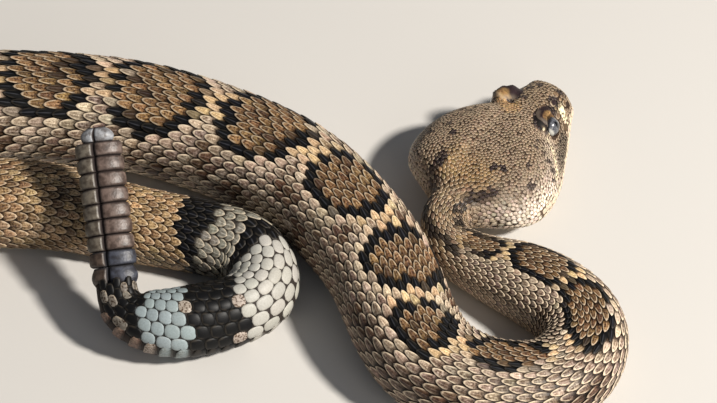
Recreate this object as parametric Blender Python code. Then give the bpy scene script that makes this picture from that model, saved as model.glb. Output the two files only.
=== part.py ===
"""Western diamondback rattlesnake, life size, at rest in a loose loop with its rattle raised.

Metres, +Z up. The belly lies on the plane z = 0 and the box round the animal is centred on the origin.
The body follows one smooth route from the nape to the rattle and is parted into lengths by thin gaps.
"""

import math

import bmesh
import bpy
import numpy as np
from mathutils import Matrix, Vector

GAP = 0.0003  # clear space between two nodes that meet

# The route of the backbone from the nape to the rattle's tip: x, y and the lift above the resting height.
# It is drawn about a point under the middle loop, and BOX_CENTRE then moves the box onto the origin.
BOX_CENTRE = (-0.15447, 0.00793)
NECK_AND_FRONT = [
    (0.0317, -0.0128, 0.0040),
    (0.0292, -0.0171, 0.0042),
    (0.0288, -0.0221, 0.0038),
    (0.0303, -0.0268, 0.0030),
    (0.0337, -0.0306, 0.0020),
    (0.0393, -0.0341, 0.0008),
    (0.0463, -0.0380, 0.0000),
    (0.0548, -0.0430, 0.0000),
    (0.0642, -0.0500, 0.0000),
    (0.0714, -0.0582, 0.0000),
    (0.0740, -0.0692, 0.0000),
    (0.0695, -0.0798, 0.0000),
    (0.0602, -0.0866, 0.0000),
    (0.0490, -0.0884, 0.0000),
    (0.0350, -0.0858, 0.0000),
    (0.0222, -0.0766, 0.0000),
    (0.0125, -0.0558, 0.0000),
    (0.0055, -0.0369, 0.0000),
    (-0.0037, -0.0217, 0.0000),
    (-0.0137, -0.0085, 0.0000),
    (-0.0283, 0.0042, 0.0000),
    (-0.0438, 0.0132, 0.0000),
    (-0.0599, 0.0205, 0.0000),
    (-0.0750, 0.0257, 0.0000),
    (-0.0915, 0.0291, 0.0000),
    (-0.1079, 0.0309, 0.0000),
    (-0.1245, 0.0315, 0.0000),
]
REAR_LOOP = [
    (-0.1560, 0.0335, 0.0000),
    (-0.1880, 0.0430, 0.0000),
    (-0.2180, 0.0620, 0.0000),
    (-0.2460, 0.0840, 0.0000),
    (-0.2810, 0.0980, 0.0000),
    (-0.3200, 0.0950, 0.0000),
    (-0.3540, 0.0740, 0.0000),
    (-0.3730, 0.0400, 0.0000),
    (-0.3760, 0.0010, 0.0000),
    (-0.3620, -0.0370, 0.0000),
    (-0.3330, -0.0660, 0.0000),
    (-0.2940, -0.0770, 0.0000),
    (-0.2560, -0.0680, 0.0000),
    (-0.2230, -0.0460, 0.0000),
    (-0.1900, -0.0250, 0.0000),
    (-0.1550, -0.0130, 0.0000),
]
TAIL_ROUTE = [
    (-0.1215, -0.0106, 0.0000),
    (-0.1079, -0.0114, 0.0000),
    (-0.0935, -0.0142, 0.0000),
    (-0.0805, -0.0178, 0.0000),
    (-0.0675, -0.0210, 0.0000),
    (-0.0547, -0.0241, 0.0000),
    (-0.0434, -0.0275, 0.0000),
    (-0.0378, -0.0303, 0.0000),
    (-0.0334, -0.0355, 0.0000),
    (-0.0315, -0.0420, 0.0000),
    (-0.0325, -0.0481, 0.0000),
    (-0.0356, -0.0521, 0.0000),
    (-0.0404, -0.0551, 0.0000),
    (-0.0466, -0.0576, 0.0000),
    (-0.0535, -0.0597, 0.0000),
    (-0.0604, -0.0610, 0.0004),
    (-0.0673, -0.0610, 0.0016),
    (-0.0741, -0.0597, 0.0042),
    (-0.0783, -0.0560, 0.0086),
]
RATTLE_ROUTE = [
    (-0.0798, -0.0506, 0.0132),
    (-0.0820, -0.0370, 0.0228),
    (-0.0844, -0.0225, 0.0322),
    (-0.0869, -0.0070, 0.0412),
]

# Width and depth of the body by distance from the nape, and those of the tail by distance to the rattle.
GIRTH = [
    (0.000, 0.0170, 0.0168),
    (0.009, 0.0158, 0.0160),
    (0.019, 0.0176, 0.0174),
    (0.030, 0.0214, 0.0198),
    (0.042, 0.0258, 0.0230),
    (0.060, 0.0284, 0.0250),
    (0.080, 0.0290, 0.0254),
    (0.105, 0.0306, 0.0266),
    (0.146, 0.0350, 0.0300),
    (0.190, 0.0373, 0.0328),
    (0.230, 0.0387, 0.0338),
    (0.350, 0.0400, 0.0340),
    (0.500, 0.0416, 0.0352),
    (0.650, 0.0412, 0.0350),
    (0.800, 0.0392, 0.0336),
]
TAIL_GIRTH = [
    (0.270, 0.0350, 0.0306),
    (0.200, 0.0317, 0.0283),
    (0.150, 0.0299, 0.0271),
    (0.122, 0.0263, 0.0253),
    (0.100, 0.0250, 0.0250),
    (0.075, 0.0245, 0.0251),
    (0.048, 0.0223, 0.0236),
    (0.028, 0.0236, 0.0239),
    (0.016, 0.0188, 0.0200),
    (0.006, 0.0128, 0.0150),
    (0.000, 0.0110, 0.0140),
]
REST_SINK = 0.075  # share of the depth that the floor flattens

# Roll of the back to the route's right, in degrees: by distance from the nape, then to the rattle.
NECK_ROLL = [(0.000, 3), (0.030, 0)]
TAIL_ROLL = [(0.130, 0), (0.085, 24), (0.040, 36), (0.018, 55), (0.000, 80), (-0.060, 88)]

FLANK_SQUARE = 0.05  # how far the section stands proud of an oval between back and flank

NECK_LONG = 0.045
TAIL_LONG = 0.128
BODY_LENGTHS = 12
TAIL_LENGTHS = 3
BODY_SIDES = 20
RING_STEP = 0.0085
RING_BEND = math.radians(13)  # most that the line turns from one ring to the next
SHARP_EDGE = math.radians(50)
SAMPLES = 4000  # places along the route where its frame is worked out
EASE = 0.010  # length over which the lift rounds off its corners

# The head in its own frame: forward from the nape, half width, height of the crown, depth of the chin,
# level of the widest place, and how much the sides lean in from there to the crown.
HEAD = [
    (0.0000, 0.0090, 0.0088, 0.0084, 0.0000, 0.00),
    (0.0035, 0.0146, 0.0098, 0.0092, -0.0010, 0.05),
    (0.0085, 0.0226, 0.0114, 0.0098, -0.0020, 0.08),
    (0.0150, 0.0264, 0.0126, 0.0100, -0.0030, 0.10),
    (0.0230, 0.0266, 0.0132, 0.0100, -0.0030, 0.12),
    (0.0300, 0.0246, 0.0132, 0.0096, -0.0030, 0.16),
    (0.0365, 0.0210, 0.0126, 0.0090, -0.0030, 0.30),
    (0.0435, 0.0171, 0.0116, 0.0084, -0.0030, 0.44),
    (0.0500, 0.0144, 0.0102, 0.0078, -0.0030, 0.42),
    (0.0560, 0.0117, 0.0083, 0.0072, -0.0030, 0.38),
    (0.0606, 0.0088, 0.0058, 0.0062, -0.0020, 0.32),
    (0.0630, 0.0048, 0.0026, 0.0046, -0.0010, 0.20),
]
HEAD_SIDES = 28
CROWN_SQUARE = 2.7  # how square the section is above and below its widest height
CHIN_SQUARE = 2.2
MOUTH_LINE = [
    (-0.0100, -0.0034),
    (0.0090, -0.0034),
    (0.0180, -0.0030),
    (0.0270, -0.0038),
    (0.0370, -0.0048),
    (0.0500, -0.0044),
    (0.0590, -0.0036),
    (0.0750, -0.0032),
]
MOUTH_REACH = 0.03  # the mouth's cutting solid: how far it goes up or down, and to each side
MOUTH_HALF = 0.04
LIP_OVERHANG = 0.0008
SNOUT_SETBACK = 15  # how far the chin's tip stands back, for each unit of overhang and of length
EYE_RADIUS = 0.0036
EYE_PLACE = (0.0446, 0.0101, 0.0050)
BROW_PLACE = (0.0444, 0.0092, 0.0106)
BROW_RADII = (0.0072, 0.0041, 0.0017)
BROW_TILT = math.radians(7)
PIT_PLACE = (0.0512, 0.0132, 0.0004)
PIT_RADII = (0.0014, 0.0024, 0.0011)
NOSTRIL_PLACE = (0.0588, 0.0092, 0.0018)
NOSTRIL_RADII = (0.0010, 0.0020, 0.0011)

# The rattle: a base that grips the tail, whole segments and the worn remains of an older one.
SEGMENTS = 8
SEGMENT_PITCH = 0.0052
RATTLE_HEIGHT = 0.0158
RATTLE_THICK = 0.0084
RATTLE_SIDES = 20
GROOVE_DEPTH = 0.30
GROOVE_PLACE = -0.22  # along the height, towards the belly side
GROOVE_WIDTH = 0.16
SEGMENT_PROFILE = [(0.00, 0.80), (0.14, 0.97), (0.45, 1.00), (0.78, 0.96), (1.00, 0.80)]
BASE_PROFILE = [(0.00, 0.76), (0.20, 0.90), (0.60, 0.94), (1.00, 0.78)]
TIP_PROFILE = [(0.00, 0.62), (0.35, 0.70), (0.75, 0.56), (1.00, 0.34)]


def natural_spline(knots, values, at):
    """A natural cubic spline through the values at the knots, read at the given places."""
    knots = np.asarray(knots, float)
    values = np.asarray(values, float).reshape(len(knots), -1)
    step = np.diff(knots)
    slope = np.diff(values, axis=0) / step[:, None]
    count = len(knots)
    matrix = np.eye(count)
    right = np.zeros_like(values)
    for i in range(1, count - 1):
        matrix[i, i - 1 : i + 2] = step[i - 1], 2 * (step[i - 1] + step[i]), step[i]
        right[i] = 6 * (slope[i] - slope[i - 1])
    bend = np.linalg.solve(matrix, right)
    at = np.atleast_1d(np.asarray(at, float))
    i = np.clip(np.searchsorted(knots, at) - 1, 0, count - 2)
    h = step[i][:, None]
    a = (knots[i + 1] - at)[:, None] / h
    b = 1 - a
    return (
        a * values[i]
        + b * values[i + 1]
        + ((a**3 - a) * bend[i] + (b**3 - b) * bend[i + 1]) * h**2 / 6
    )


def run(points):
    """Distance along a line of points, at each of them."""
    return np.concatenate([[0], np.cumsum(np.linalg.norm(np.diff(points, axis=0), axis=1))])


def eased(values, s):
    """The values along the line with their corners rounded off, both ends kept."""
    wide = int(EASE / (s[-1] / len(s)))
    window = np.hanning(2 * wide + 1)
    before = np.full(wide, values[0])
    after = np.full(wide, 2 * values[-1] - values[-wide])
    ends = np.concatenate([before, values, after])
    return np.convolve(ends, window / window.sum(), mode="valid")


class Route:
    """The backbone line with its frame: place, heading, back and side at any distance from the nape.

    Its length runs to the rattle, and the line itself goes on to the rattle's tip.
    """

    def __init__(self):
        rows = np.array(NECK_AND_FRONT + REAR_LOOP + TAIL_ROUTE + RATTLE_ROUTE)
        rows[:, :2] -= BOX_CENTRE
        chord = run(rows)
        knots = np.linspace(0, chord[-1], SAMPLES)
        path = natural_spline(chord, rows, knots)
        self.s = run(path)
        self.length = np.interp(chord[-len(RATTLE_ROUTE)], knots, self.s)
        lift = eased(np.interp(knots, chord, rows[:, 2]), self.s)
        path[:, 2] = lift + self.girth(self.s)[:, 1] * (0.5 - REST_SINK)
        self.s = run(path)
        self.length = np.interp(chord[-len(RATTLE_ROUTE)], knots, self.s)
        self.place = path
        heading = np.gradient(path, self.s, axis=0)
        self.heading = heading / np.linalg.norm(heading, axis=1)[:, None]
        self.back = self.rolled()

    def girth(self, s):
        """Width and depth at distances s from the nape, up to the rattle."""
        front = np.array(GIRTH)
        tail = np.array(TAIL_GIRTH)
        tail[:, 0] = self.length - tail[:, 0]
        rows = np.vstack([front, tail])
        return natural_spline(rows[:, 0], rows[:, 1:], np.clip(s, 0, self.length))

    def rolled(self):
        """The back's direction: as near upright as the heading lets it be, then rolled to the right."""
        back = np.array([0.0, 0.0, 1.0]) - self.heading * self.heading[:, 2:]
        back /= np.linalg.norm(back, axis=1)[:, None]
        from_nape, neck = np.array(NECK_ROLL).T
        to_rattle, tail = np.array(TAIL_ROLL).T
        turn = np.interp(self.s, from_nape, neck) + np.interp(self.s, self.length - to_rattle, tail)
        angle = np.radians(turn)[:, None]
        right = np.cross(self.heading, back)
        return back * np.cos(angle) + right * np.sin(angle)

    def at(self, s):
        """Place, heading, back and left side at one distance."""
        place, heading, back = (
            np.array([np.interp(s, self.s, field[:, k]) for k in range(3)])
            for field in (self.place, self.heading, self.back)
        )
        heading = heading / np.linalg.norm(heading)
        back = back - heading * (back @ heading)
        back = back / np.linalg.norm(back)
        return place, heading, back, np.cross(back, heading)


def body_ring(route, s, sides=BODY_SIDES):
    """The outline of the body at distance s: an oval, a little square at the flanks, flat where it rests."""
    place, _, back, side = route.at(s)
    width, depth = route.girth(s)[0]
    ring = []
    for k in range(sides):
        angle = 2 * math.pi * k / sides
        across, over = math.sin(angle), math.cos(angle)
        square = 1 + FLANK_SQUARE * (2 * across * over) ** 2
        point = place + side * (across * square * width / 2) + back * (over * square * depth / 2)
        point[2] = max(point[2], 0.0)
        ring.append(Vector(point))
    return ring


def loft(name, rings, material):
    """One closed object through rings of the same number of points, with flat ends."""
    bm = bmesh.new()
    rows = [[bm.verts.new(point) for point in ring] for ring in rings]
    count = len(rows[0])
    for low, high in zip(rows, rows[1:]):
        for k in range(count):
            bm.faces.new((low[k], low[(k + 1) % count], high[(k + 1) % count], high[k]))
    bm.faces.new(rows[0][::-1])
    bm.faces.new(rows[-1])
    bmesh.ops.recalc_face_normals(bm, faces=bm.faces)
    return finish(name, bm, material)


def finish(name, bm, material):
    """Turns a bmesh into a smooth shaded object in the scene."""
    mesh = bpy.data.meshes.new(name)
    bm.to_mesh(mesh)
    bm.free()
    mesh.shade_smooth()
    mesh.set_sharp_from_angle(angle=SHARP_EDGE)
    made = bpy.data.objects.new(name, mesh)
    bpy.context.scene.collection.objects.link(made)
    if material:
        mesh.materials.append(material)
    return made


def ring_places(route, start, stop):
    """Distances from start to stop, evenly spaced on straight runs and closer in bends."""
    fine = np.linspace(start, stop, 200)
    heading = np.array([route.at(s)[1] for s in fine])
    turn = np.linalg.norm(np.diff(heading, axis=0), axis=1)
    cost = np.maximum(np.diff(fine) / RING_STEP, turn / RING_BEND)
    total = np.concatenate([[0], np.cumsum(cost)])
    count = max(2, math.ceil(total[-1]) + 1)
    return np.interp(np.linspace(0, total[-1], count), total, fine)


def body_length(route, name, start, stop, material):
    """One length of the body between two cross cuts."""
    places = ring_places(route, start + GAP / 2, stop - GAP / 2)
    return loft(name, [body_ring(route, s) for s in places], material)


def power(value, square):
    """A sine or cosine bent towards a squarer outline."""
    return math.copysign(abs(value) ** (2 / square), value)


def head_rings(inset=0.0):
    """Cross sections of the head, drawn in by an inset that fades out at the nape."""
    rings = []
    for forward, half, crown, chin, widest, lean in HEAD:
        shrink = inset * min(1.0, forward / HEAD[3][0])
        ring = []
        for k in range(HEAD_SIDES):
            angle = 2 * math.pi * k / HEAD_SIDES
            above = math.cos(angle) > 0
            square = CROWN_SQUARE if above else CHIN_SQUARE
            height = crown - widest if above else chin + widest
            share = power(math.cos(angle), square)
            left = power(math.sin(angle), square) * (half - shrink) * (1 - lean * max(share, 0))
            up = widest + share * (height - shrink)
            ring.append(Vector((forward * (1 - shrink * SNOUT_SETBACK), left, up)))
        rings.append(ring)
    return rings


def mouth_prism(name, upper):
    """A solid that fills all above or below the mouth line, short of it by half a gap."""
    reach = MOUTH_REACH if upper else -MOUTH_REACH
    shift = GAP / 2 if upper else -GAP / 2
    line = [(x, z + shift) for x, z in MOUTH_LINE]
    outline = line + [(line[-1][0], reach), (line[0][0], reach)]
    rings = [[Vector((x, y, z)) for x, z in outline] for y in (-MOUTH_HALF, MOUTH_HALF)]
    return loft(name, rings, None)


def ellipsoid(name, place, radii, roll=0.0):
    """A closed egg shape with its three radii, rolled about the head's length."""
    bm = bmesh.new()
    bmesh.ops.create_uvsphere(bm, u_segments=16, v_segments=10, radius=1.0)
    turn = Matrix.Translation(place) @ Matrix.Rotation(roll, 4, "X") @ Matrix.Diagonal((*radii, 1.0))
    bmesh.ops.transform(bm, matrix=turn, verts=bm.verts)
    return finish(name, bm, None)


def pair(name, place, radii, roll=0.0):
    """The same egg shape on the left and the right of the head."""
    forward, out, up = place
    left = ellipsoid(name + "_left", (forward, out, up), radii, -roll)
    right = ellipsoid(name + "_right", (forward, -out, up), radii, roll)
    return [left, right]


def combine(base, pieces, operation):
    """Joins the closed pieces to the base, or cuts it by them, and removes them."""
    group = bpy.data.collections.new(base.name + "_pieces")
    for piece in pieces:
        group.objects.link(piece)
    modifier = base.modifiers.new("pieces", "BOOLEAN")
    modifier.operand_type = "COLLECTION"
    modifier.collection = group
    modifier.operation = operation
    modifier.solver = "EXACT"
    bpy.context.view_layer.update()
    depsgraph = bpy.context.evaluated_depsgraph_get()
    made = bpy.data.meshes.new_from_object(base.evaluated_get(depsgraph))
    base.modifiers.clear()
    base.data = made
    for piece in pieces:
        bpy.data.objects.remove(piece)
    bpy.data.collections.remove(group)
    keep_largest(made)


def keep_largest(mesh):
    """Drops every closed surface of the mesh but the one round the largest volume."""
    bm = bmesh.new()
    bm.from_mesh(mesh)
    left = set(bm.verts)
    islands = []
    while left:
        stack = [left.pop()]
        island = []
        while stack:
            vert = stack.pop()
            island.append(vert)
            near = {edge.other_vert(vert) for edge in vert.link_edges} & left
            left -= near
            stack.extend(near)
        islands.append(island)
    islands.sort(key=spread)
    for island in islands[:-1]:
        bmesh.ops.delete(bm, geom=island, context="VERTS")
    bm.to_mesh(mesh)
    bm.free()


def spread(verts):
    """The size of the box round some points."""
    places = np.array([vert.co for vert in verts])
    return float(np.prod(np.ptp(places, axis=0)))


def head_frame(route):
    """The head's place and turn: it carries on from the neck, forward being away from the body."""
    place, heading, back, _ = route.at(0.0)
    forward = Vector(-heading)
    up = Vector(back)
    left = up.cross(forward)
    turn = Matrix((forward, left, up)).transposed().to_4x4()
    return Matrix.Translation(Vector(place) + forward * GAP / 2) @ turn


def make_head(route, skin, eye_material):
    """The upper head with brow shields, pits and nostrils, the lower jaw, and the two eyes."""
    frame = head_frame(route)
    head = loft("head", head_rings(), skin)
    combine(head, [mouth_prism("above", True)], "INTERSECT")
    combine(head, pair("brow", BROW_PLACE, BROW_RADII, BROW_TILT), "UNION")
    socket = EYE_RADIUS + GAP
    hollows = pair("socket", EYE_PLACE, (socket, socket, socket))
    hollows += pair("pit", PIT_PLACE, PIT_RADII)
    hollows += pair("nostril", NOSTRIL_PLACE, NOSTRIL_RADII)
    combine(head, hollows, "DIFFERENCE")
    jaw = loft("lower_jaw", head_rings(LIP_OVERHANG), skin)
    combine(jaw, [mouth_prism("below", False)], "INTERSECT")
    eyes = pair("eye", EYE_PLACE, (EYE_RADIUS, EYE_RADIUS, EYE_RADIUS))
    for eye in eyes:
        eye.data.materials.append(eye_material)
    for piece in [head, jaw] + eyes:
        piece.data.shade_smooth()
        piece.data.set_sharp_from_angle(angle=SHARP_EDGE)
        piece.matrix_world = frame


def rattle_ring(route, s, scale):
    """The outline of the rattle: two lobes with a groove along each side between them."""
    place, _, back, side = route.at(s)
    ring = []
    for k in range(RATTLE_SIDES):
        angle = 2 * math.pi * k / RATTLE_SIDES
        over = math.cos(angle)
        waist = 1 - GROOVE_DEPTH * math.exp(-(((over - GROOVE_PLACE) / GROOVE_WIDTH) ** 2))
        height = over * scale * RATTLE_HEIGHT / 2
        thick = math.sin(angle) * waist * scale * RATTLE_THICK / 2
        ring.append(Vector(place + back * height + side * thick))
    return ring


def rattle_piece(route, name, number, profile, material):
    """One piece of the rattle, a pitch long, at its place in the row."""
    start = route.length + number * SEGMENT_PITCH
    long = SEGMENT_PITCH - GAP
    rings = [rattle_ring(route, start + GAP / 2 + part * long, scale) for part, scale in profile]
    return loft(name, rings, material)


def make_rattle(route, horn, base_material):
    """The base, the whole segments and the worn tip, each clear of the next."""
    rattle_piece(route, "rattle_base", 0, BASE_PROFILE, base_material)
    for number in range(1, SEGMENTS + 1):
        rattle_piece(route, f"rattle_{number:02d}", number, SEGMENT_PROFILE, horn)
    rattle_piece(route, "rattle_tip", SEGMENTS + 1, TIP_PROFILE, horn)


def make_body(route, skin, tail_skin):
    """The neck, the lengths of the body and the lengths of the tail."""
    body_length(route, "neck", 0.0, NECK_LONG, skin)
    tail_start = route.length - TAIL_LONG
    cuts = np.linspace(NECK_LONG, tail_start, BODY_LENGTHS + 1)
    for number, (start, stop) in enumerate(zip(cuts, cuts[1:]), 1):
        body_length(route, f"body_{number:02d}", start, stop, skin)
    cuts = np.linspace(tail_start, route.length, TAIL_LENGTHS + 1)
    for number, (start, stop) in enumerate(zip(cuts, cuts[1:]), 1):
        body_length(route, f"tail_{number}", start, stop, tail_skin)


def principled(name, colour, roughness):
    """A plain material with its colour and roughness."""
    material = bpy.data.materials.new(name)
    material.use_nodes = True
    shader = material.node_tree.nodes["Principled BSDF"]
    shader.inputs["Base Color"].default_value = (*colour, 1.0)
    shader.inputs["Roughness"].default_value = roughness
    shader.inputs["Metallic"].default_value = 0.0
    return material


def main():
    for old in list(bpy.data.objects):
        bpy.data.objects.remove(old)
    route = Route()
    skin = principled("scaled_skin", (0.34, 0.25, 0.17), 0.62)
    tail_skin = principled("banded_skin", (0.45, 0.44, 0.40), 0.62)
    eye_material = principled("eye", (0.10, 0.11, 0.12), 0.12)
    horn = principled("rattle_horn", (0.24, 0.19, 0.18), 0.42)
    base_material = principled("rattle_base_horn", (0.08, 0.09, 0.12), 0.40)
    make_head(route, skin, eye_material)
    make_body(route, skin, tail_skin)
    make_rattle(route, horn, base_material)


main()
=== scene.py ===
import itertools
import math

import bpy
import numpy as np
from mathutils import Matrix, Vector
from mathutils.kdtree import KDTree


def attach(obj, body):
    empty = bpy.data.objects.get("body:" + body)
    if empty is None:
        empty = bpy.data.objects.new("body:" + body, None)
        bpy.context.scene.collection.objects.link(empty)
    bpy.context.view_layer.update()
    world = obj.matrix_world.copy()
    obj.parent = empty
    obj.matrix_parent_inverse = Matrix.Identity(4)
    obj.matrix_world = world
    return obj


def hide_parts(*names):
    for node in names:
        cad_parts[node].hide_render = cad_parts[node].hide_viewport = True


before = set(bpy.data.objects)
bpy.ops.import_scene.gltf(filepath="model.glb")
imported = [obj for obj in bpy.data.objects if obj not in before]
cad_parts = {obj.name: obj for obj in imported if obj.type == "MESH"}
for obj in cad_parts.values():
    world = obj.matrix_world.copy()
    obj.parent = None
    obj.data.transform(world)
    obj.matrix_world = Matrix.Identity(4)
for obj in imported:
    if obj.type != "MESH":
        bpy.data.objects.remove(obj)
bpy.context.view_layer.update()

# Western diamondback rattlesnake: one skin over the flesh, every scale on it as a small closed solid, the
# eyes and the rattle. Metres, +Z up. Distances along the animal start at the nape and run to the tail, so
# they are negative on the head. A turn round the body is 0 on the back, positive to the animal's right and
# one half on the belly.

GAP = 0.0003  # clear space between one length of the animal and the next

# The route of the backbone from the nape to the tip of the rattle, as places x, y and how far it is raised.
# BOX_CENTRE is the middle of the whole animal seen from above, and the frame has it at the origin.
BOX_CENTRE = (-0.15447, 0.00793)
NECK_AND_FRONT = [
    (0.0317, -0.0128, 0.0040), (0.0292, -0.0171, 0.0042), (0.0288, -0.0221, 0.0038),
    (0.0303, -0.0268, 0.0030), (0.0337, -0.0306, 0.0020), (0.0393, -0.0341, 0.0008),
    (0.0463, -0.0380, 0), (0.0548, -0.0430, 0), (0.0642, -0.0500, 0),
    (0.0714, -0.0582, 0), (0.0740, -0.0692, 0), (0.0695, -0.0798, 0),
    (0.0602, -0.0866, 0), (0.0490, -0.0884, 0), (0.0350, -0.0858, 0),
    (0.0222, -0.0766, 0), (0.0125, -0.0558, 0), (0.0055, -0.0369, 0),
    (-0.0037, -0.0217, 0), (-0.0137, -0.0085, 0), (-0.0283, 0.0042, 0),
    (-0.0438, 0.0132, 0), (-0.0599, 0.0205, 0), (-0.0750, 0.0257, 0),
    (-0.0915, 0.0291, 0), (-0.1079, 0.0309, 0), (-0.1245, 0.0315, 0),
]
REAR_LOOP = [
    (-0.1560, 0.0335, 0), (-0.1880, 0.0430, 0), (-0.2180, 0.0620, 0), (-0.2460, 0.0840, 0),
    (-0.2810, 0.0980, 0), (-0.3200, 0.0950, 0), (-0.3540, 0.0740, 0), (-0.3730, 0.0400, 0),
    (-0.3760, 0.0010, 0), (-0.3620, -0.0370, 0), (-0.3330, -0.0660, 0), (-0.2940, -0.0770, 0),
    (-0.2560, -0.0680, 0), (-0.2230, -0.0460, 0), (-0.1900, -0.0250, 0), (-0.1550, -0.0130, 0),
]
TAIL_ROUTE = [
    (-0.1215, -0.0106, 0), (-0.1079, -0.0114, 0), (-0.0935, -0.0142, 0),
    (-0.0805, -0.0178, 0), (-0.0675, -0.0210, 0), (-0.0547, -0.0241, 0),
    (-0.0434, -0.0275, 0), (-0.0378, -0.0303, 0), (-0.0334, -0.0355, 0),
    (-0.0315, -0.0420, 0), (-0.0325, -0.0481, 0), (-0.0356, -0.0521, 0),
    (-0.0404, -0.0551, 0), (-0.0466, -0.0576, 0), (-0.0535, -0.0597, 0),
    (-0.0604, -0.0610, 0.0004), (-0.0673, -0.0610, 0.0016), (-0.0741, -0.0597, 0.0042),
    (-0.0783, -0.0560, 0.0086),
]
RATTLE_ROUTE = [
    (-0.0798, -0.0506, 0.0132), (-0.0820, -0.0370, 0.0228), (-0.0844, -0.0225, 0.0322),
    (-0.0869, -0.0070, 0.0412),
]

# Width and depth of the body by distance from the nape, and those of the tail by distance to the rattle.
GIRTH = [
    (0.000, 0.0170, 0.0168), (0.009, 0.0158, 0.0160), (0.019, 0.0176, 0.0174), (0.030, 0.0214, 0.0198),
    (0.042, 0.0258, 0.0230), (0.060, 0.0284, 0.0250), (0.080, 0.0290, 0.0254), (0.105, 0.0306, 0.0266),
    (0.146, 0.0350, 0.0300), (0.190, 0.0373, 0.0328), (0.230, 0.0387, 0.0338), (0.350, 0.0400, 0.0340),
    (0.500, 0.0416, 0.0352), (0.650, 0.0412, 0.0350), (0.800, 0.0392, 0.0336),
]
TAIL_GIRTH = [
    (0.270, 0.0350, 0.0306), (0.200, 0.0317, 0.0283), (0.150, 0.0299, 0.0271), (0.122, 0.0263, 0.0253),
    (0.100, 0.0250, 0.0250), (0.075, 0.0245, 0.0251), (0.048, 0.0223, 0.0236), (0.028, 0.0236, 0.0239),
    (0.016, 0.0188, 0.0200), (0.006, 0.0128, 0.0150), (0.000, 0.0110, 0.0140),
]
REST_SINK = 0.075  # share of the depth by which the belly is flattened where it rests
FLANK_SQUARE = 0.05  # how much fuller than an oval the section is between back and flank
# Roll of the back to the right, in degrees: by distance from the nape, and by distance to the rattle.
NECK_ROLL = [(0.000, 3), (0.030, 0)]
TAIL_ROLL = [(0.130, 0), (0.085, 24), (0.040, 36), (0.018, 55), (0.000, 80), (-0.060, 88)]
SAMPLES = 4000  # places that the line is worked out at
EASE = 0.010  # length over which a change of height is rounded off

# The head: forward from the nape, half width, crown, chin, level of the widest place, lean of the sides.
HEAD = [
    (0.0000, 0.0090, 0.0088, 0.0084, 0.0000, 0.00),
    (0.0035, 0.0146, 0.0098, 0.0092, -0.0010, 0.05),
    (0.0085, 0.0226, 0.0114, 0.0098, -0.0020, 0.08),
    (0.0150, 0.0264, 0.0126, 0.0100, -0.0030, 0.10),
    (0.0230, 0.0266, 0.0132, 0.0100, -0.0030, 0.12),
    (0.0300, 0.0246, 0.0132, 0.0096, -0.0030, 0.16),
    (0.0365, 0.0210, 0.0126, 0.0090, -0.0030, 0.30),
    (0.0435, 0.0171, 0.0116, 0.0084, -0.0030, 0.44),
    (0.0500, 0.0144, 0.0102, 0.0078, -0.0030, 0.42),
    (0.0560, 0.0117, 0.0083, 0.0072, -0.0030, 0.38),
    (0.0606, 0.0088, 0.0058, 0.0062, -0.0020, 0.32),
    (0.0630, 0.0048, 0.0026, 0.0046, -0.0010, 0.20),
]
SNOUT_TIP = (0.0636, 0.0003, -0.0004, 0.0012, -0.0008, 0.10)
HEAD_SQUARES = (2.7, 2.2)  # how square the section is above and below its widest place
# The line of the mouth, forward and up, and the places of the features: forward, outward and up.
MOUTH_LINE = [
    (0.0090, -0.0034), (0.0180, -0.0030), (0.0270, -0.0038), (0.0370, -0.0048), (0.0500, -0.0044),
    (0.0590, -0.0036), (0.0750, -0.0032),
]
MOUTH_CORNER = 0.0150
EYE_RADIUS = 0.0036
EYE_PLACE = (0.0446, 0.0101, 0.0050)
BROW_PLACE = (0.0444, 0.0092)
PIT_PLACE = (0.0512, 0.0132, 0.0004)
NOSTRIL_PLACE = (0.0588, 0.0092, 0.0018)

# Relief of the head: how deep each hollow is cut and how high each fold stands.
SOCKET_DEPTH = 0.0022
LID_HEIGHT = 0.0005
BROW_HEIGHT = 0.0021
FAR_BROW_MORE = 0.0020
FAR_CHEEK_HEIGHT = 0.0017
UPPER_LIP_HEIGHT = 0.0013
SNOUT_RIDGE = 0.0006
PIT_DEPTH = 0.0016
NOSTRIL_DEPTH = 0.0011
MOUTH_DEPTH = 0.0007

# The rattle: its segments, the groove along it, and each piece's scale from its start to its end.
SEGMENTS = 8
SEGMENT_PITCH = 0.0052
RATTLE_HEIGHT = 0.0158
RATTLE_THICK = 0.0084
GROOVE_PLACE = -0.22
GROOVE = (0.30, 0.085)  # how deep and how wide, as shares of the piece
GROOVE_SIDES = (0.06, 0.30)  # the shallow hollow that leads into it
SEGMENT_PROFILE = [
    (0.00, 0.880), (0.06, 0.935), (0.25, 0.985), (0.50, 1.000), (0.75, 0.985), (0.94, 0.935),
    (1.00, 0.880),
]
BASE_PROFILE = [(0.00, 0.84), (0.20, 0.93), (0.60, 0.96), (1.00, 0.82)]
TIP_PROFILE = [(0.00, 0.62), (0.35, 0.70), (0.75, 0.56), (1.00, 0.34)]
BASE_INTO_TAIL = 0.0012  # how far the base runs into the end of the tail

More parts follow.
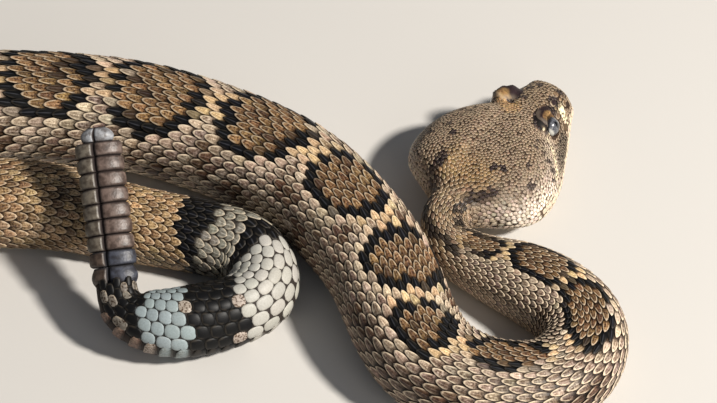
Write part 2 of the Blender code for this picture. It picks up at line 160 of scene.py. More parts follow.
# The coat, by distance from the nape: spacing of the scales along the body, and how many rows cross it.
PITCH = [
    (-0.010, 0.0021), (0.010, 0.0023), (0.030, 0.0028), (0.060, 0.0034), (0.100, 0.0039),
    (0.150, 0.0043), (0.200, 0.0047), (0.250, 0.0052), (0.300, 0.0057), (0.340, 0.0060),
    (0.800, 0.0060), (0.950, 0.0052), (1.000, 0.0044), (1.030, 0.0038), (1.060, 0.0034),
    (1.075, 0.0037), (1.088, 0.0043), (1.125, 0.0043), (1.160, 0.0034),
]
MOST_ROWS = 25
ROWS = [
    (-0.010, MOST_ROWS), (0.900, MOST_ROWS), (0.960, 23.0), (1.010, 21.0),
    (1.045, 19.0), (1.060, 17.0), (1.074, 13.0), (1.160, 13.0),
]
COAT_SHARE = 0.138  # depth of the coat, in pitches
CROWD = (0.26, 0.12)  # how much narrower the rows of the back are than the flanks', on body and on tail
BELLY_TURN = 0.375  # where the belly plates begin, as a turn from the back
HEAD_COAT = 0.00034  # depth of the coat on the head

EVEN = 0.5  # half a turn or half a share, as in rows that are set half a pitch on from their neighbours


def natural_spline(knots, values, at):
    """A natural cubic spline through the values at the knots, read at the given places."""
    knots = np.asarray(knots, float)
    values = np.asarray(values, float).reshape(len(knots), -1)
    step = np.diff(knots)
    slope = np.diff(values, axis=0) / step[:, None]
    count = len(knots)
    matrix = np.eye(count)
    right = np.zeros_like(values)
    for i in range(1, count - 1):
        matrix[i, i - 1 : i + 2] = step[i - 1], 2 * (step[i - 1] + step[i]), step[i]
        right[i] = 6 * (slope[i] - slope[i - 1])
    bend = np.linalg.solve(matrix, right)
    at = np.atleast_1d(np.asarray(at, float))
    i = np.clip(np.searchsorted(knots, at) - 1, 0, count - 2)
    h = step[i][:, None]
    a = (knots[i + 1] - at)[:, None] / h
    b = 1 - a
    return (
        a * values[i]
        + b * values[i + 1]
        + ((a**3 - a) * bend[i] + (b**3 - b) * bend[i + 1]) * h**2 / 6
    )


def run(points):
    """Distance along a line of points, at each of them."""
    return np.concatenate([[0], np.cumsum(np.linalg.norm(np.diff(points, axis=0), axis=1))])


def unit(vectors):
    """The vectors at length one."""
    return vectors / np.maximum(np.linalg.norm(vectors, axis=-1, keepdims=True), 1e-12)


def smooth(low, high, value):
    """A soft step from 0 at low to 1 at high."""
    t = np.clip((value - low) / (high - low), 0.0, 1.0)
    return t * t * (3 - 2 * t)


def hump(value, wide):
    """A soft bump, 1 at 0 and nothing far beyond wide."""
    return np.exp(-((value / wide) ** 2))


def eased(values, s):
    """The values along the line with their corners rounded off, both ends kept."""
    wide = int(EASE / (s[-1] / len(s)))
    window = np.hanning(2 * wide + 1)
    before = np.full(wide, values[0])
    after = np.full(wide, 2 * values[-1] - values[-wide])
    ends = np.concatenate([before, values, after])
    return np.convolve(ends, window / window.sum(), mode="valid")


class Route:
    """The backbone line with its frame: place, heading, back and side at any distance from the nape."""

    def __init__(self):
        rows = np.array(NECK_AND_FRONT + REAR_LOOP + TAIL_ROUTE + RATTLE_ROUTE)
        rows[:, :2] -= BOX_CENTRE
        chord = run(rows)
        knots = np.linspace(0, chord[-1], SAMPLES)
        path = natural_spline(chord, rows, knots)
        self.s = run(path)
        self.length = np.interp(chord[-len(RATTLE_ROUTE)], knots, self.s)
        lift = eased(np.interp(knots, chord, rows[:, 2]), self.s)
        path[:, 2] = lift + self.girth(self.s)[:, 1] * (0.5 - REST_SINK)
        self.s = run(path)
        self.length = np.interp(chord[-len(RATTLE_ROUTE)], knots, self.s)
        self.place = path
        self.heading = unit(np.gradient(path, self.s, axis=0))
        self.back = self.rolled()

    def girth(self, s):
        """Width and depth at distances s from the nape, up to the rattle."""
        tail = np.array(TAIL_GIRTH)
        tail[:, 0] = self.length - tail[:, 0]
        rows = np.vstack([np.array(GIRTH), tail])
        return natural_spline(rows[:, 0], rows[:, 1:], np.clip(s, 0, self.length))

    def rolled(self):
        """The back's direction: as near upright as the heading lets it be, then rolled to the right."""
        back = unit(np.array([0.0, 0.0, 1.0]) - self.heading * self.heading[:, 2:])
        from_nape, neck = np.array(NECK_ROLL).T
        to_rattle, tail = np.array(TAIL_ROLL).T
        turn = np.interp(self.s, from_nape, neck) + np.interp(self.s, self.length - to_rattle, tail)
        angle = np.radians(turn)[:, None]
        right = np.cross(self.heading, back)
        return back * np.cos(angle) + right * np.sin(angle)

    def at(self, s):
        """Place, heading, back and right side at distances s, one row each."""
        place, heading, back = (
            np.stack([np.interp(s, self.s, field[:, k]) for k in range(3)], axis=-1)
            for field in (self.place, self.heading, self.back)
        )
        heading = unit(heading)
        back = unit(back - heading * np.sum(back * heading, axis=-1, keepdims=True))
        return place, heading, back, np.cross(back, heading)


def from_eye(local):
    """Distance from the middle of the nearer eye, for places in the head's own frame."""
    forward, right, up = np.moveaxis(local, -1, 0)
    away = [forward - EYE_PLACE[0], np.abs(right) - EYE_PLACE[1], up - EYE_PLACE[2]]
    return np.sqrt(away[0] ** 2 + away[1] ** 2 + away[2] ** 2)


def mouth_level(forward):
    """Height of the line of the mouth in the head's own frame."""
    line = np.array(MOUTH_LINE)
    return np.interp(forward, line[:, 0], line[:, 1])


def pitch_at(s):
    """Spacing of the scales along the body."""
    rows = np.array(PITCH)
    return np.interp(s, rows[:, 0], rows[:, 1])


def rows_at(s):
    """How many rows of scales cross the body between the belly plates, changing by a pair at a time."""
    rows = np.array(ROWS)
    pairs = (np.interp(s, rows[:, 0], rows[:, 1]) - 1) / 2
    whole = np.floor(pairs)
    return 1 + 2 * (whole + smooth(0.40, 0.60, pairs - whole))


def coat_depth(s):
    """How far the skin lies inside the solids, under the scales."""
    body = COAT_SHARE * pitch_at(s)
    return HEAD_COAT + (body - HEAD_COAT) * smooth(-0.006, 0.004, s)


class Flesh:
    """The animal's outer surface, head to tail, as a table that any distance and turn can be read from."""

    TURNS = 320
    HEAD_STEP = 0.00025
    BODY_STEP = 0.001
    PAST_END = 0.003  # how far the table runs on over the rattle's base

    def __init__(self, route):
        self.route = route
        self.head_s, head_rings = self.head_table()
        self.body_s = np.arange(0.0, route.length + self.PAST_END, self.BODY_STEP)
        body_rings = self.body_table(self.body_s)
        place, heading, back, right = route.at(np.array([0.0]))
        forward = -heading[0]
        self.origin = place[0] + forward * GAP / 2
        self.axes = np.array([forward, right[0], back[0]])
        head = self.origin + head_rings @ self.axes
        self.s = np.concatenate([self.head_s, self.body_s])
        self.place = np.concatenate([head, body_rings])
        self.local = head_rings
        self.perimeter = np.linalg.norm(np.diff(self.place, axis=1), axis=2).sum(axis=1)
        head_headings = np.repeat(heading, len(self.head_s), axis=0)
        self.headings = np.concatenate([head_headings, route.at(self.body_s)[1]])
        self.normal = self.normals()
        self.shape_head()
        self.normal = self.normals()

    def even_turns(self, across, over):
        """Rings of points, each spread evenly along its own length. Both inputs are rings by row."""
        turns = np.linspace(0, 1, self.TURNS + 1)
        made = np.zeros((len(across), self.TURNS + 1, 2))
        for k, (a, b) in enumerate(zip(across, over)):
            along = run(np.stack([a, b], axis=-1))
            made[k, :, 0] = np.interp(turns * along[-1], along, a)
            made[k, :, 1] = np.interp(turns * along[-1], along, b)
        return made

    def head_table(self):
        """Rings of the head in its own frame, snout first: forward, right, up."""
        rows = np.array(HEAD + [SNOUT_TIP])
        chord = run(rows[:, :3])
        even = np.linspace(0, chord[-1], int(chord[-1] / self.HEAD_STEP))
        rows = natural_spline(chord, rows, even)[:0:-1]
        angle = np.linspace(-math.pi, math.pi, 721)
        forward, half, crown, chin, widest, lean = (rows[:, k : k + 1] for k in range(6))
        grown = smooth(0.0, 0.010, forward)
        above = 2.0 + (HEAD_SQUARES[0] - 2.0) * grown
        below = 2.0 + (HEAD_SQUARES[1] - 2.0) * grown
        square = np.where(np.cos(angle) > 0, above, below)
        share = np.sign(np.cos(angle)) * np.abs(np.cos(angle)) ** (2 / square)
        side = np.sign(np.sin(angle)) * np.abs(np.sin(angle)) ** (2 / square)
        height = np.where(np.cos(angle) > 0, crown - widest, chin + widest)
        across = side * half * (1 - lean * np.maximum(share, 0))
        rings = self.even_turns(across, widest + share * height)
        ahead = np.repeat(forward[:, :, None], self.TURNS + 1, axis=1)
        return -forward[:, 0], np.concatenate([ahead, rings], axis=2)

    def body_table(self, s):
        """Rings of the body and tail, in place."""
        place, _, back, right = self.route.at(s)
        width, depth = self.route.girth(s).T / 2
        angle = np.linspace(-math.pi, math.pi, 361)
        square = 1 + FLANK_SQUARE * np.sin(2 * angle) ** 2
        across = np.sin(angle) * square * width[:, None]
        rings = self.even_turns(across, np.cos(angle) * square * depth[:, None])
        return place[:, None] + rings[:, :, :1] * right[:, None] + rings[:, :, 1:] * back[:, None]

    def normals(self):
        """Outward directions, kept steady where the rings crowd on the inside of a bend."""
        along = np.gradient(self.place, self.s, axis=0)
        heading = self.headings[:, None]
        ahead = np.sum(along * heading, axis=2, keepdims=True)
        self.stretch = np.clip(np.linalg.norm(along, axis=2), 0.35, 3.0)
        self.stretch = np.where(ahead[:, :, 0] < 0.35, 0.35, self.stretch)
        along = along + heading * (np.maximum(ahead, 0.3) - ahead)
        round_ring = np.gradient(self.place, axis=1)
        round_ring[:, 0] = round_ring[:, -1] = round_ring[:, 0] + round_ring[:, -1]
        return unit(np.cross(along, round_ring))

    def shape_head(self):
        """Adds the folds of the head: brows, eye sockets, pits, nostrils, lips and cheeks."""
        forward, right, up = np.moveaxis(self.local, 2, 0)
        out = np.abs(right)
        side = smooth(0.3, 0.7, np.abs(self.normal[: len(self.head_s)] @ self.axes[1]))
        depth = np.zeros_like(forward)
        flank = smooth(0.004, 0.008, out)
        away = from_eye(np.stack([forward, right, up], axis=-1))
        depth -= SOCKET_DEPTH * (1 - smooth(EYE_RADIUS - 0.0002, EYE_RADIUS + 0.0003, away))
        depth += LID_HEIGHT * hump(away - EYE_RADIUS - 0.0006, 0.0005) * flank
        far = smooth(0.002, 0.008, -right)
        ahead = BROW_PLACE[0] + 0.0010 + 0.0008 * far
        aside = BROW_PLACE[1] + 0.0009 - 0.0017 * far
        brow = np.hypot((forward - ahead) / 0.0070, (out - aside) / 0.0046)
        shelf = smooth(1.08, 0.62, brow) * (0.75 + 0.25 * far * smooth(1.0, 0.0, brow))
        depth += (BROW_HEIGHT + FAR_BROW_MORE * far) * shelf * smooth(0.0066, 0.0084, up)
        cheek = FAR_CHEEK_HEIGHT * far * smooth(0.0, 0.009, forward) * smooth(0.046, 0.034, forward)
        depth += cheek * smooth(-0.004, 0.002, up)
        depth += UPPER_LIP_HEIGHT * hump(forward - 0.0430, 0.0085) * hump(up + 0.0020, 0.0034) * flank
        depth += SNOUT_RIDGE * hump(forward - 0.0600, 0.0022) * smooth(0.002, 0.006, out)
        from_pit = np.hypot(forward - PIT_PLACE[0], up - PIT_PLACE[2])
        depth -= PIT_DEPTH * (1 - smooth(0.0006, 0.0017, from_pit)) * side
        from_nostril = np.hypot(forward - NOSTRIL_PLACE[0], up - NOSTRIL_PLACE[2])
        depth -= NOSTRIL_DEPTH * (1 - smooth(0.0003, 0.0011, from_nostril)) * side
        gape = smooth(MOUTH_CORNER, MOUTH_CORNER + 0.004, forward)
        depth -= MOUTH_DEPTH * hump(up - mouth_level(forward), 0.00035) * gape * (1 - hump(side, 0.2))
        depth[0] = 0.0
        self.place[: len(self.head_s)] += self.normal[: len(self.head_s)] * depth[:, :, None]

    def read(self, table, s, turn):
        """Reads a table of rings at distances and turns, evenly between its entries."""
        row = np.clip(np.interp(s, self.s, np.arange(len(self.s))), 0, len(self.s) - 1.001)
        column = np.mod(turn + EVEN, 1.0) * self.TURNS
        i, j = row.astype(int), np.minimum(column.astype(int), self.TURNS - 1)
        p, q = (row - i)[..., None], (column - j)[..., None]
        near = table[i, j] * (1 - q) + table[i, j + 1] * q
        far = table[i + 1, j] * (1 - q) + table[i + 1, j + 1] * q
        return near * (1 - p) + far * p

    def at(self, s, turn, height=0.0):
        """Points at a height above the skin, which lies under the solids' surface by the coat's depth."""
        depth = coat_depth(s)
        place = self.read(self.place, s, turn)
        normal = unit(self.read(self.normal, s, turn))
        made = place + normal * (height - depth)[..., None]
        lowest = np.maximum(depth - height, 0.0) * 0.4
        made[..., 2] = np.maximum(made[..., 2], lowest)
        return made

    def girth_at(self, s):
        """Length round the body."""
        return np.interp(s, self.s, self.perimeter)

    def stretch_at(self, s, turn):
        """How much longer the surface is there than the backbone line."""
        return self.read(self.stretch[:, :, None], s, turn)[..., 0]

    def in_head(self, s, turn):
        """Forward, right and up in the head's own frame."""
        return (self.read(self.place, s, turn) - self.origin) @ self.axes.T

    def turn_at_level(self, forward, level):
        """The turn on the right side where the head's surface is at a level, at one distance forward."""
        ring = np.argmin(np.abs(self.head_s + forward))
        turns = np.linspace(-EVEN, EVEN, self.TURNS + 1)
        part = (turns > 0.02) & (turns < 0.48)
        up = self.local[ring, part, 2]
        return float(np.interp(-level, -up, turns[part]))


# Colours, as they look on a screen.


def colour(red, green, blue):
    """A screen colour, 0 to 255, as light amounts."""
    value = np.array([red, green, blue]) / 255
    return np.where(value <= 0.04045, value / 12.92, ((value + 0.055) / 1.055) ** 2.4)


def look(red, green, blue, rim, fleck, centre):
    """How a scale looks: its colour, and how strong its pale rim, dark flecks and dark centre are."""
    return np.concatenate([colour(red, green, blue), [rim, fleck, centre]])


BLACK = look(8, 8, 14, 0.03, 0.0, 0.0)
DIAMOND = look(166, 132, 92, 0.60, 0.95, 0.75)
DIAMOND_CORE = look(112, 84, 56, 0.45, 1.0, 0.9)
OCHRE = look(226, 194, 150, 0.50, 0.20, 0.40)
PALE = look(216, 196, 172, 0.90, 0.20, 0.55)
FLANK = look(176, 158, 142, 1.0, 0.70, 1.0)
FLANK_LOW = look(196, 180, 162, 1.0, 0.55, 0.95)
BLOTCH = look(98, 70, 50, 0.45, 0.6, 0.9)
GOLD = look(190, 158, 116, 0.40, 0.90, 0.45)
GOLD_LOW = look(170, 140, 104, 0.60, 0.50, 0.85)
GOLD_DARK = look(92, 66, 42, 0.25, 0.9, 0.7)
ASH = look(152, 150, 138, 0.35, 0.30, 0.35)
WHITE = look(180, 178, 170, 0.05, 0.05, 0.0)
BLUE_WHITE = look(146, 158, 160, 0.05, 0.05, 0.0)
FLECKED = look(176, 164, 154, 0.10, 1.0, 0.5)
SPECK = look(122, 116, 108, 0.20, 1.0, 0.5)
UNDERTAIL = look(128, 104, 92, 0.10, 0.7, 0.3)
BELLY = look(212, 200, 176, 0.20, 0.1, 0.0)
CROWN = look(142, 120, 98, 0.55, 0.60, 0.45)
NAPE = look(158, 128, 88, 0.45, 0.60, 0.40)
CHEEK = look(176, 160, 144, 0.50, 0.30, 0.25)
LOW_CHEEK = look(236, 222, 206, 0.50, 0.08, 0.05)
SNOUT = look(130, 108, 84, 0.40, 0.70, 0.30)
LIP = look(216, 200, 176, 0.30, 0.15, 0.10)
MASK = look(60, 50, 44, 0.30, 0.5, 0.5)
STRIPE = look(240, 224, 188, 0.30, 0.0, 0.0)
HEAD_DARK = look(44, 32, 34, 0.12, 0.1, 0.1)
HEAD_OCHRE = look(178, 140, 92, 0.30, 0.7, 0.3)

# The diamonds: distance of the centre, offset to the right, half length and half width. The halves reach to
# the middle of the black border.
DIAMONDS = [
    (0.0285, 0.0015, 0.0065, 0.0045), (0.0500, 0.0030, 0.0095, 0.0075),
    (0.0760, 0.0010, 0.0125, 0.0075), (0.1150, -0.0050, 0.0145, 0.0065),
    (0.1467, -0.0005, 0.0085, 0.0090), (0.1738, -0.0065, 0.0110, 0.0145),
    (0.2085, -0.0036, 0.0130, 0.0115), (0.2460, -0.0035, 0.0135, 0.0150),
    (0.2860, -0.0010, 0.0145, 0.0170), (0.3255, -0.0010, 0.0135, 0.0170),
]
HIDDEN_DIAMOND = (0.0, 0.0140, 0.0165)  # offset and halves of those that the photo doesn't show
HIDDEN_FROM = 0.3660
HIDDEN_STEP = 0.0395
HIDDEN_TO = 1.03
DIAMOND_SQUARE = 2.3  # 2 is an oval, more is squarer

# Dark blotches low on the flanks: distance, offset to either side, half length and half width.
BLOTCHES = [
    (0.0640, 0.0150, 0.0050, 0.0030), (0.0960, 0.0170, 0.0060, 0.0035),
    (0.1300, 0.0190, 0.0060, 0.0035), (0.1590, 0.0190, 0.0060, 0.0045),
    (0.1920, 0.0110, 0.0050, 0.0035), (0.2080, 0.0250, 0.0060, 0.0050),
    (0.2210, 0.0160, 0.0050, 0.0045), (0.2450, 0.0280, 0.0075, 0.0050),
    (0.2600, 0.0200, 0.0055, 0.0055), (0.2800, 0.0320, 0.0070, 0.0050),
    (0.3000, 0.0220, 0.0055, 0.0050), (0.3200, 0.0320, 0.0070, 0.0050),
]
# Those past the photo's edge: distance before each diamond, offset, half length and half width.
HIDDEN_BLOTCH = (0.0245, 0.026, 0.0065, 0.0055)

# The bands of the tail: the look of each, and where it begins by offset to the right in millimetres.
BANDS = [
    (BLACK, [(-26, 1.0570), (-17, 1.0561), (-13, 1.0547), (-10, 1.0533), (-6, 1.0519), (-2, 1.0512),
             (3, 1.0505), (7, 1.0512)]),
    (ASH, [(-18, 1.0596), (-13, 1.0582), (-10, 1.0582), (-7, 1.0596), (-4, 1.0603), (1, 1.0617),
           (7, 1.0630)]),
    (BLACK, [(-5, 1.0813), (-3, 1.0785), (0, 1.0764), (3, 1.0750), (7, 1.0750), (11, 1.0757),
             (20, 1.0765)]),
    (WHITE, [(-7, 1.0862), (-3, 1.0848), (-1, 1.0834), (2, 1.0820), (6, 1.0813), (10, 1.0813),
             (15, 1.0799), (21, 1.0800), (26, 1.0850), (29, 1.0890)]),
    (BLACK, [(1, 1.1023), (6, 1.1056), (13, 1.1044), (20, 1.1037), (22, 1.1051), (25, 1.1058)]),
    (BLUE_WHITE, [(6, 1.1226), (11, 1.1233), (15, 1.1226), (18, 1.1219), (25, 1.1219), (29, 1.1205)]),
    (BLACK, [(7, 1.1380), (18, 1.1380), (21, 1.1373), (24, 1.1359), (27, 1.1338), (30, 1.1324)]),
]
UNDERTAIL_FROM = 1.1345  # where the underside of the tail's end turns brown

# Dark lines on the nape: distance from it and offset to the right along each.
NAPE_LINES = [
    [(-0.0075, 0.0125), (-0.0040, 0.0095), (-0.0017, 0.0060), (0.0060, 0.0045), (0.0160, 0.0060),
     (0.0240, 0.0065)],
    [(-0.0110, -0.0100), (-0.0060, -0.0105), (0.0000, -0.0090), (0.0100, -0.0060), (0.0240, -0.0035)],
]

# Dark spots of the head, in millimetres in its own frame: forward, right and radius.
CROWN_SPOTS = [
    (19.5, -12.4, 1.5), (16.2, 10.4, 1.4), (14.6, 7.6, 1.4), (54.2, 6.2, 1.9), (60.3, 4.9, 1.5),
    (53.9, -3.4, 1.3), (57.3, -2.1, 1.4), (47.5, -2.6, 1.2), (43.5, -4.6, 1.3), (8.0, -9.0, 1.6),
]
# Pale stripes of the face, behind the eye and ahead of it: forward and up in millimetres.
EYE_STRIPE = [(22.0, 1.0), (32.0, 2.6), (37.5, 4.4), (39.0, 6.5), (40.0, 9.0)]
FACE_STRIPE = [(55.0, 4.4), (53.6, 1.6), (51.3, -0.9)]
# Dark spots of the cheeks, in millimetres: forward, outward to either side, and radius.
CHEEK_SPOTS = [
    (33.9, 12.9, 0.8), (31.2, 14.0, 0.8), (31.7, 16.8, 0.8), (30.7, 19.5, 0.8), (29.2, 21.9, 0.8),
    (27.0, 23.7, 0.8), (17.6, 21.0, 1.3), (22.9, 16.3, 0.9),
]


def diamonds():
    """Every diamond, seen and hidden."""
    hidden = np.arange(HIDDEN_FROM, HIDDEN_TO, HIDDEN_STEP)
    return DIAMONDS + [(s, *HIDDEN_DIAMOND) for s in hidden]


def between(first, second, share):
    """Values that go from the first at share 0 to the second at share 1."""
    return first * (1 - share) + second * share


def mixed(base, other, share):
    """Looks moved towards another by a share each."""
    return between(base, other, np.asarray(share)[..., None])


WAVES = 6  # waves that the unevenness of the markings is made of


def wobble(s, across, seed):
    """Smooth, uneven values between about -1 and 1, by place on the skin."""
    rng = np.random.default_rng(seed)
    total = np.zeros_like(s)
    for _ in range(WAVES):
        long, wide, phase = rng.uniform(250, 900), rng.uniform(250, 900), rng.uniform(0, 2 * math.pi)
        total += np.sin(long * s + wide * across * rng.choice([-1, 1]) + phase)
    return total / 3


def beside(s, across, line):
    """Distance from a line of points on the skin."""
    nearest = np.full(s.shape, 1000.0)
    for (s0, a0), (s1, a1) in zip(line, line[1:]):
        long = math.hypot(s1 - s0, a1 - a0)
        share = np.clip(((s - s0) * (s1 - s0) + (across - a0) * (a1 - a0)) / long**2, 0, 1)
        away = np.hypot(s - s0 - share * (s1 - s0), across - a0 - share * (a1 - a0))
        nearest = np.minimum(nearest, away)
    return nearest


def body_look(flesh, s, turn, rng):
    """The diamonds, the pale lines round them, the spine, the flanks and their blotches, and painted shade
    in the blotches' colour on one stretch of the right flank.
    """
    across = turn * flesh.girth_at(s)
    uneven = wobble(s, across, 5)
    grain = rng.normal(0, 1, (3,) + s.shape)
    chance = rng.uniform(0, 1, s.shape)
    rear = smooth(0.90, 0.99, s)
    low = smooth(0.018, 0.036, np.abs(across))
    made = mixed(FLANK, FLANK_LOW, low)
    made = mixed(made, mixed(GOLD, GOLD_LOW, low), rear)
    for centre, offset, half_long, half_wide in BLOTCHES:
        reach = np.hypot((s - centre) / half_long, (np.abs(across) - offset) / half_wide)
        made = mixed(made, BLOTCH, smooth(1.3, 0.7, reach + 0.25 * grain[0]) * 0.9)
    # Painted shade: the right flank from 0.115 to 0.225 along, which turns away from the light, is darkened
    # unevenly towards the blotches' colour.
    painted_flank_shade = smooth(0.115, 0.135, s) * smooth(0.225, 0.200, s) * smooth(0.010, 0.020, across)
    made = mixed(made, BLOTCH, painted_flank_shade * (0.45 + 0.35 * smooth(-0.3, 0.6, uneven)))
    before, offset, half_long, half_wide = HIDDEN_BLOTCH
    later = HIDDEN_FROM - before + HIDDEN_STEP * np.round((s - HIDDEN_FROM + before) / HIDDEN_STEP)
    reach = np.hypot((s - later) / half_long, (np.abs(across) - offset) / half_wide)
    past = smooth(0.33, 0.34, s) * (1 - rear)
    made = mixed(made, BLOTCH, smooth(1.3, 0.7, reach + 0.25 * grain[0]) * 0.9 * past)
    for centre, offset, half_long, half_wide in diamonds():
        away = np.stack([np.abs(s - centre), np.abs(across - offset)])
        reach = (away[0] / half_long) ** DIAMOND_SQUARE + (away[1] / half_wide) ** DIAMOND_SQUARE
        reach = np.maximum(reach ** (1 / DIAMOND_SQUARE), 0.05)
        edge = np.hypot(away[0], away[1]) * (1 - 1 / reach)
        thick = 0.40 * pitch_at(s)
        edge = edge / thick + 0.25 * uneven + 0.20 * grain[1]
        fade = 1 - 0.75 * smooth(0.80, 0.97, s)
        spine = smooth(0.011, 0.005, np.abs(across - offset)) * smooth(0.9, 1.05, away[0] / half_long)
        near = smooth(3.2, 2.4, edge) * fade
        made = mixed(made, mixed(PALE, OCHRE, spine), near * np.maximum(0.8, spine))
        border = smooth(1.25, 0.95, edge) * np.where(chance < 0.06, 0.3, 1.0) * fade
        dark = mixed(BLACK, GOLD_DARK, smooth(0.80, 0.97, s))
        made = mixed(made, dark, border)
        inside = smooth(-0.95, -1.25, edge)
        core = smooth(0.75, 0.15, reach) * smooth(-0.5, 0.6, uneven) + 0.3 * (grain[2] > 0.8)
        field = mixed(mixed(DIAMOND, DIAMOND_CORE, np.clip(core, 0, 1)), GOLD, rear)
        field = mixed(field, BLACK, 0.85 * (chance > 0.93) * (1 - rear))
        field = mixed(field, DIAMOND_CORE, 0.5 * smooth(0.30, 0.22, centre) * (1 - rear))
        made = mixed(made, field, inside)
    neck = smooth(0.034, 0.014, s)
    made = mixed(made, mixed(NAPE, GOLD_DARK, smooth(0.1, 1.0, uneven + 0.5 * grain[0])), neck * 0.7)
    for line in NAPE_LINES:
        near = smooth(1.5, 0.8, beside(s, across, line) / 0.0019 + 0.25 * grain[1])
        made = mixed(made, BLACK, near * np.where(chance < 0.25, 0.3, 0.92))
    speckle = smooth(0.2, 1.0, wobble(s * 1.6, across * 1.6, 9) + 0.4 * grain[2])
    made = mixed(made, GOLD_DARK, speckle * rear * 0.55)
    return made


def tail_look(flesh, s, turn, rng):
    """The look of the tail's bands, and whether they cover each place."""
    across = 1000 * turn * flesh.girth_at(s)
    made = np.broadcast_to(BLACK, s.shape + BLACK.shape).copy()
    cover = np.zeros(s.shape)
    place = s + rng.normal(0, 0.0005, s.shape)
    chance = rng.uniform(0, 1, s.shape)
    for number, (band, line) in enumerate(BANDS):
        aside, starts = np.array(line).T
        start = np.interp(across, aside, starts)
        made[place >= start] = band
        if number == 0:
            cover = (place >= start).astype(float)
        elif number > 3:
            odd = (np.abs(place - start) < 0.0016) & (chance < 0.35)
            made[odd] = FLECKED
    patch = (s > 1.1465) & (across > -2) & (across < 8) & (chance > 0.45)
    margin = (s > 1.1400) & (across > 11) & (chance > 0.80)
    made[patch | margin] = SPECK
    made[(s > UNDERTAIL_FROM) & (np.abs(turn) > 0.385)] = UNDERTAIL
    return made, cover


def coat_look(flesh, s, turn, seed=3):
    """The look of the whole animal at any place on it."""
    rng = np.random.default_rng(seed)
    made = body_look(flesh, s, turn, rng)
    band, cover = tail_look(flesh, s, turn, rng)
    made = mixed(made, band, cover)
    made = mixed(made, head_look(flesh, s, turn, rng), smooth(0.003, -0.008, s))
    calm = 1 - 0.75 * smooth(1.05, 1.08, s)
    made[..., :3] *= np.exp(0.16 * calm * rng.normal(0, 1, s.shape))[..., None]
    made[..., :3] *= np.exp(0.03 * calm[..., None] * rng.normal(0, 1, s.shape + (3,)))
    return np.clip(made, 0.004, 1)


def head_look(flesh, s, turn, rng):
    """Tan crown, paler cheeks, dark mask between pale stripes, pale lips, and the spots."""
    local = 1000 * flesh.in_head(s, turn)
    forward, right, up = np.moveaxis(local, -1, 0)
    out = np.abs(right)
    grain = rng.normal(0, 1, (3,) + s.shape)
    uneven = wobble(s * 1.5, turn * 0.14, 21)
    made = mixed(CROWN, NAPE, smooth(22, 10, forward) * smooth(14, 6, out))
    made = mixed(made, CHEEK, smooth(11.0, 6.0, up + 0.4 * grain[0]) * smooth(44, 36, forward))
    made = mixed(made, LOW_CHEEK, smooth(8, 1, up) * smooth(34, 20, forward))
    made = mixed(made, SNOUT, smooth(38, 50, forward) * smooth(0, 4, up))
    made = mixed(made, GOLD_DARK, smooth(0.9, 1.7, uneven + 0.6 * grain[1]) * 0.7 * smooth(4, 8, up))
    near_side = right > 0
    ahead = (forward - np.where(near_side, 45.4, 46.2)) / 6.6
    aside = (out - np.where(near_side, 9.3, 7.8)) / 4.2
    brow = smooth(1.12, 1.00, np.hypot(ahead, aside) + 0.05 * grain[0]) * smooth(4, 6, up)
    made = mixed(made, HEAD_DARK, brow)
    inner = np.hypot((ahead - 0.05) / 0.40, (aside - 0.05) / 0.42)
    rear = np.hypot((ahead + 0.45) / 0.50, (aside - 0.15) / 0.55)
    ochre_part = np.where(near_side, smooth(1.2, 0.8, inner), smooth(1.2, 0.7, rear))
    made = mixed(made, HEAD_OCHRE, ochre_part * brow * (0.75 - 0.25 * smooth(0.2, 1.0, uneven)))
    pale_edge = smooth(0.70, 0.84, aside) * brow * smooth(0.55, 0.35, ahead) * near_side
    made = mixed(made, STRIPE, pale_edge)
    ochre = np.hypot((forward - 41.0) / 3.6, (right + 3.4) / 3.8)
    made = mixed(made, HEAD_OCHRE, smooth(1.2, 0.7, ochre + 0.15 * grain[2]) * 0.85)
    level = up - 1000 * mouth_level(forward / 1000)
    mask = smooth(7.5, 6.0, level) * smooth(2.8, 3.6, level)
    mask = mask * smooth(30, 38, forward) * smooth(50, 47, forward)
    made = mixed(made, MASK, mask * smooth(9, 11, out) * 0.9)
    ahead, height = np.array(EYE_STRIPE).T
    stripe = smooth(1.3, 0.7, np.abs(up - np.interp(forward, ahead, height)))
    stripe = stripe * smooth(24, 32, forward) * smooth(41.5, 40.0, forward)
    made = mixed(made, STRIPE, stripe * smooth(9, 11, out) * 0.8)
    patch = beside(forward, up, FACE_STRIPE)
    made = mixed(made, STRIPE, smooth(1.9, 1.4, patch) * smooth(7, 8.5, out))
    made = mixed(made, LIP, smooth(3.4, 2.6, level) * smooth(12, 17, forward))
    made = mixed(made, BELLY, smooth(-4.5, -6.5, level))
    for spots, outward, uneven_edge, strength in (
        (CROWN_SPOTS, right, grain[0], 1.0),
        (CHEEK_SPOTS, out, grain[1], 0.9),
    ):
        for ahead, aside, radius in spots:
            near = np.hypot(forward - ahead, outward - aside) / radius + 0.20 * uneven_edge
            made = mixed(made, HEAD_DARK, smooth(1.25, 0.8, near) * smooth(0, 2, up) * strength)
    for line in NAPE_LINES:
        across = turn * flesh.girth_at(s)
        near = smooth(1.5, 0.8, beside(s, across, line) / 0.0016 + 0.25 * grain[1])
        made = mixed(made, HEAD_DARK, near * np.where(grain[2] < -0.7, 0.3, 0.92))
    return made


# Meshes.


def flat(values, kind=np.float32):
    """Values in one row, as meshes take them."""
    return np.ascontiguousarray(values, kind).ravel()


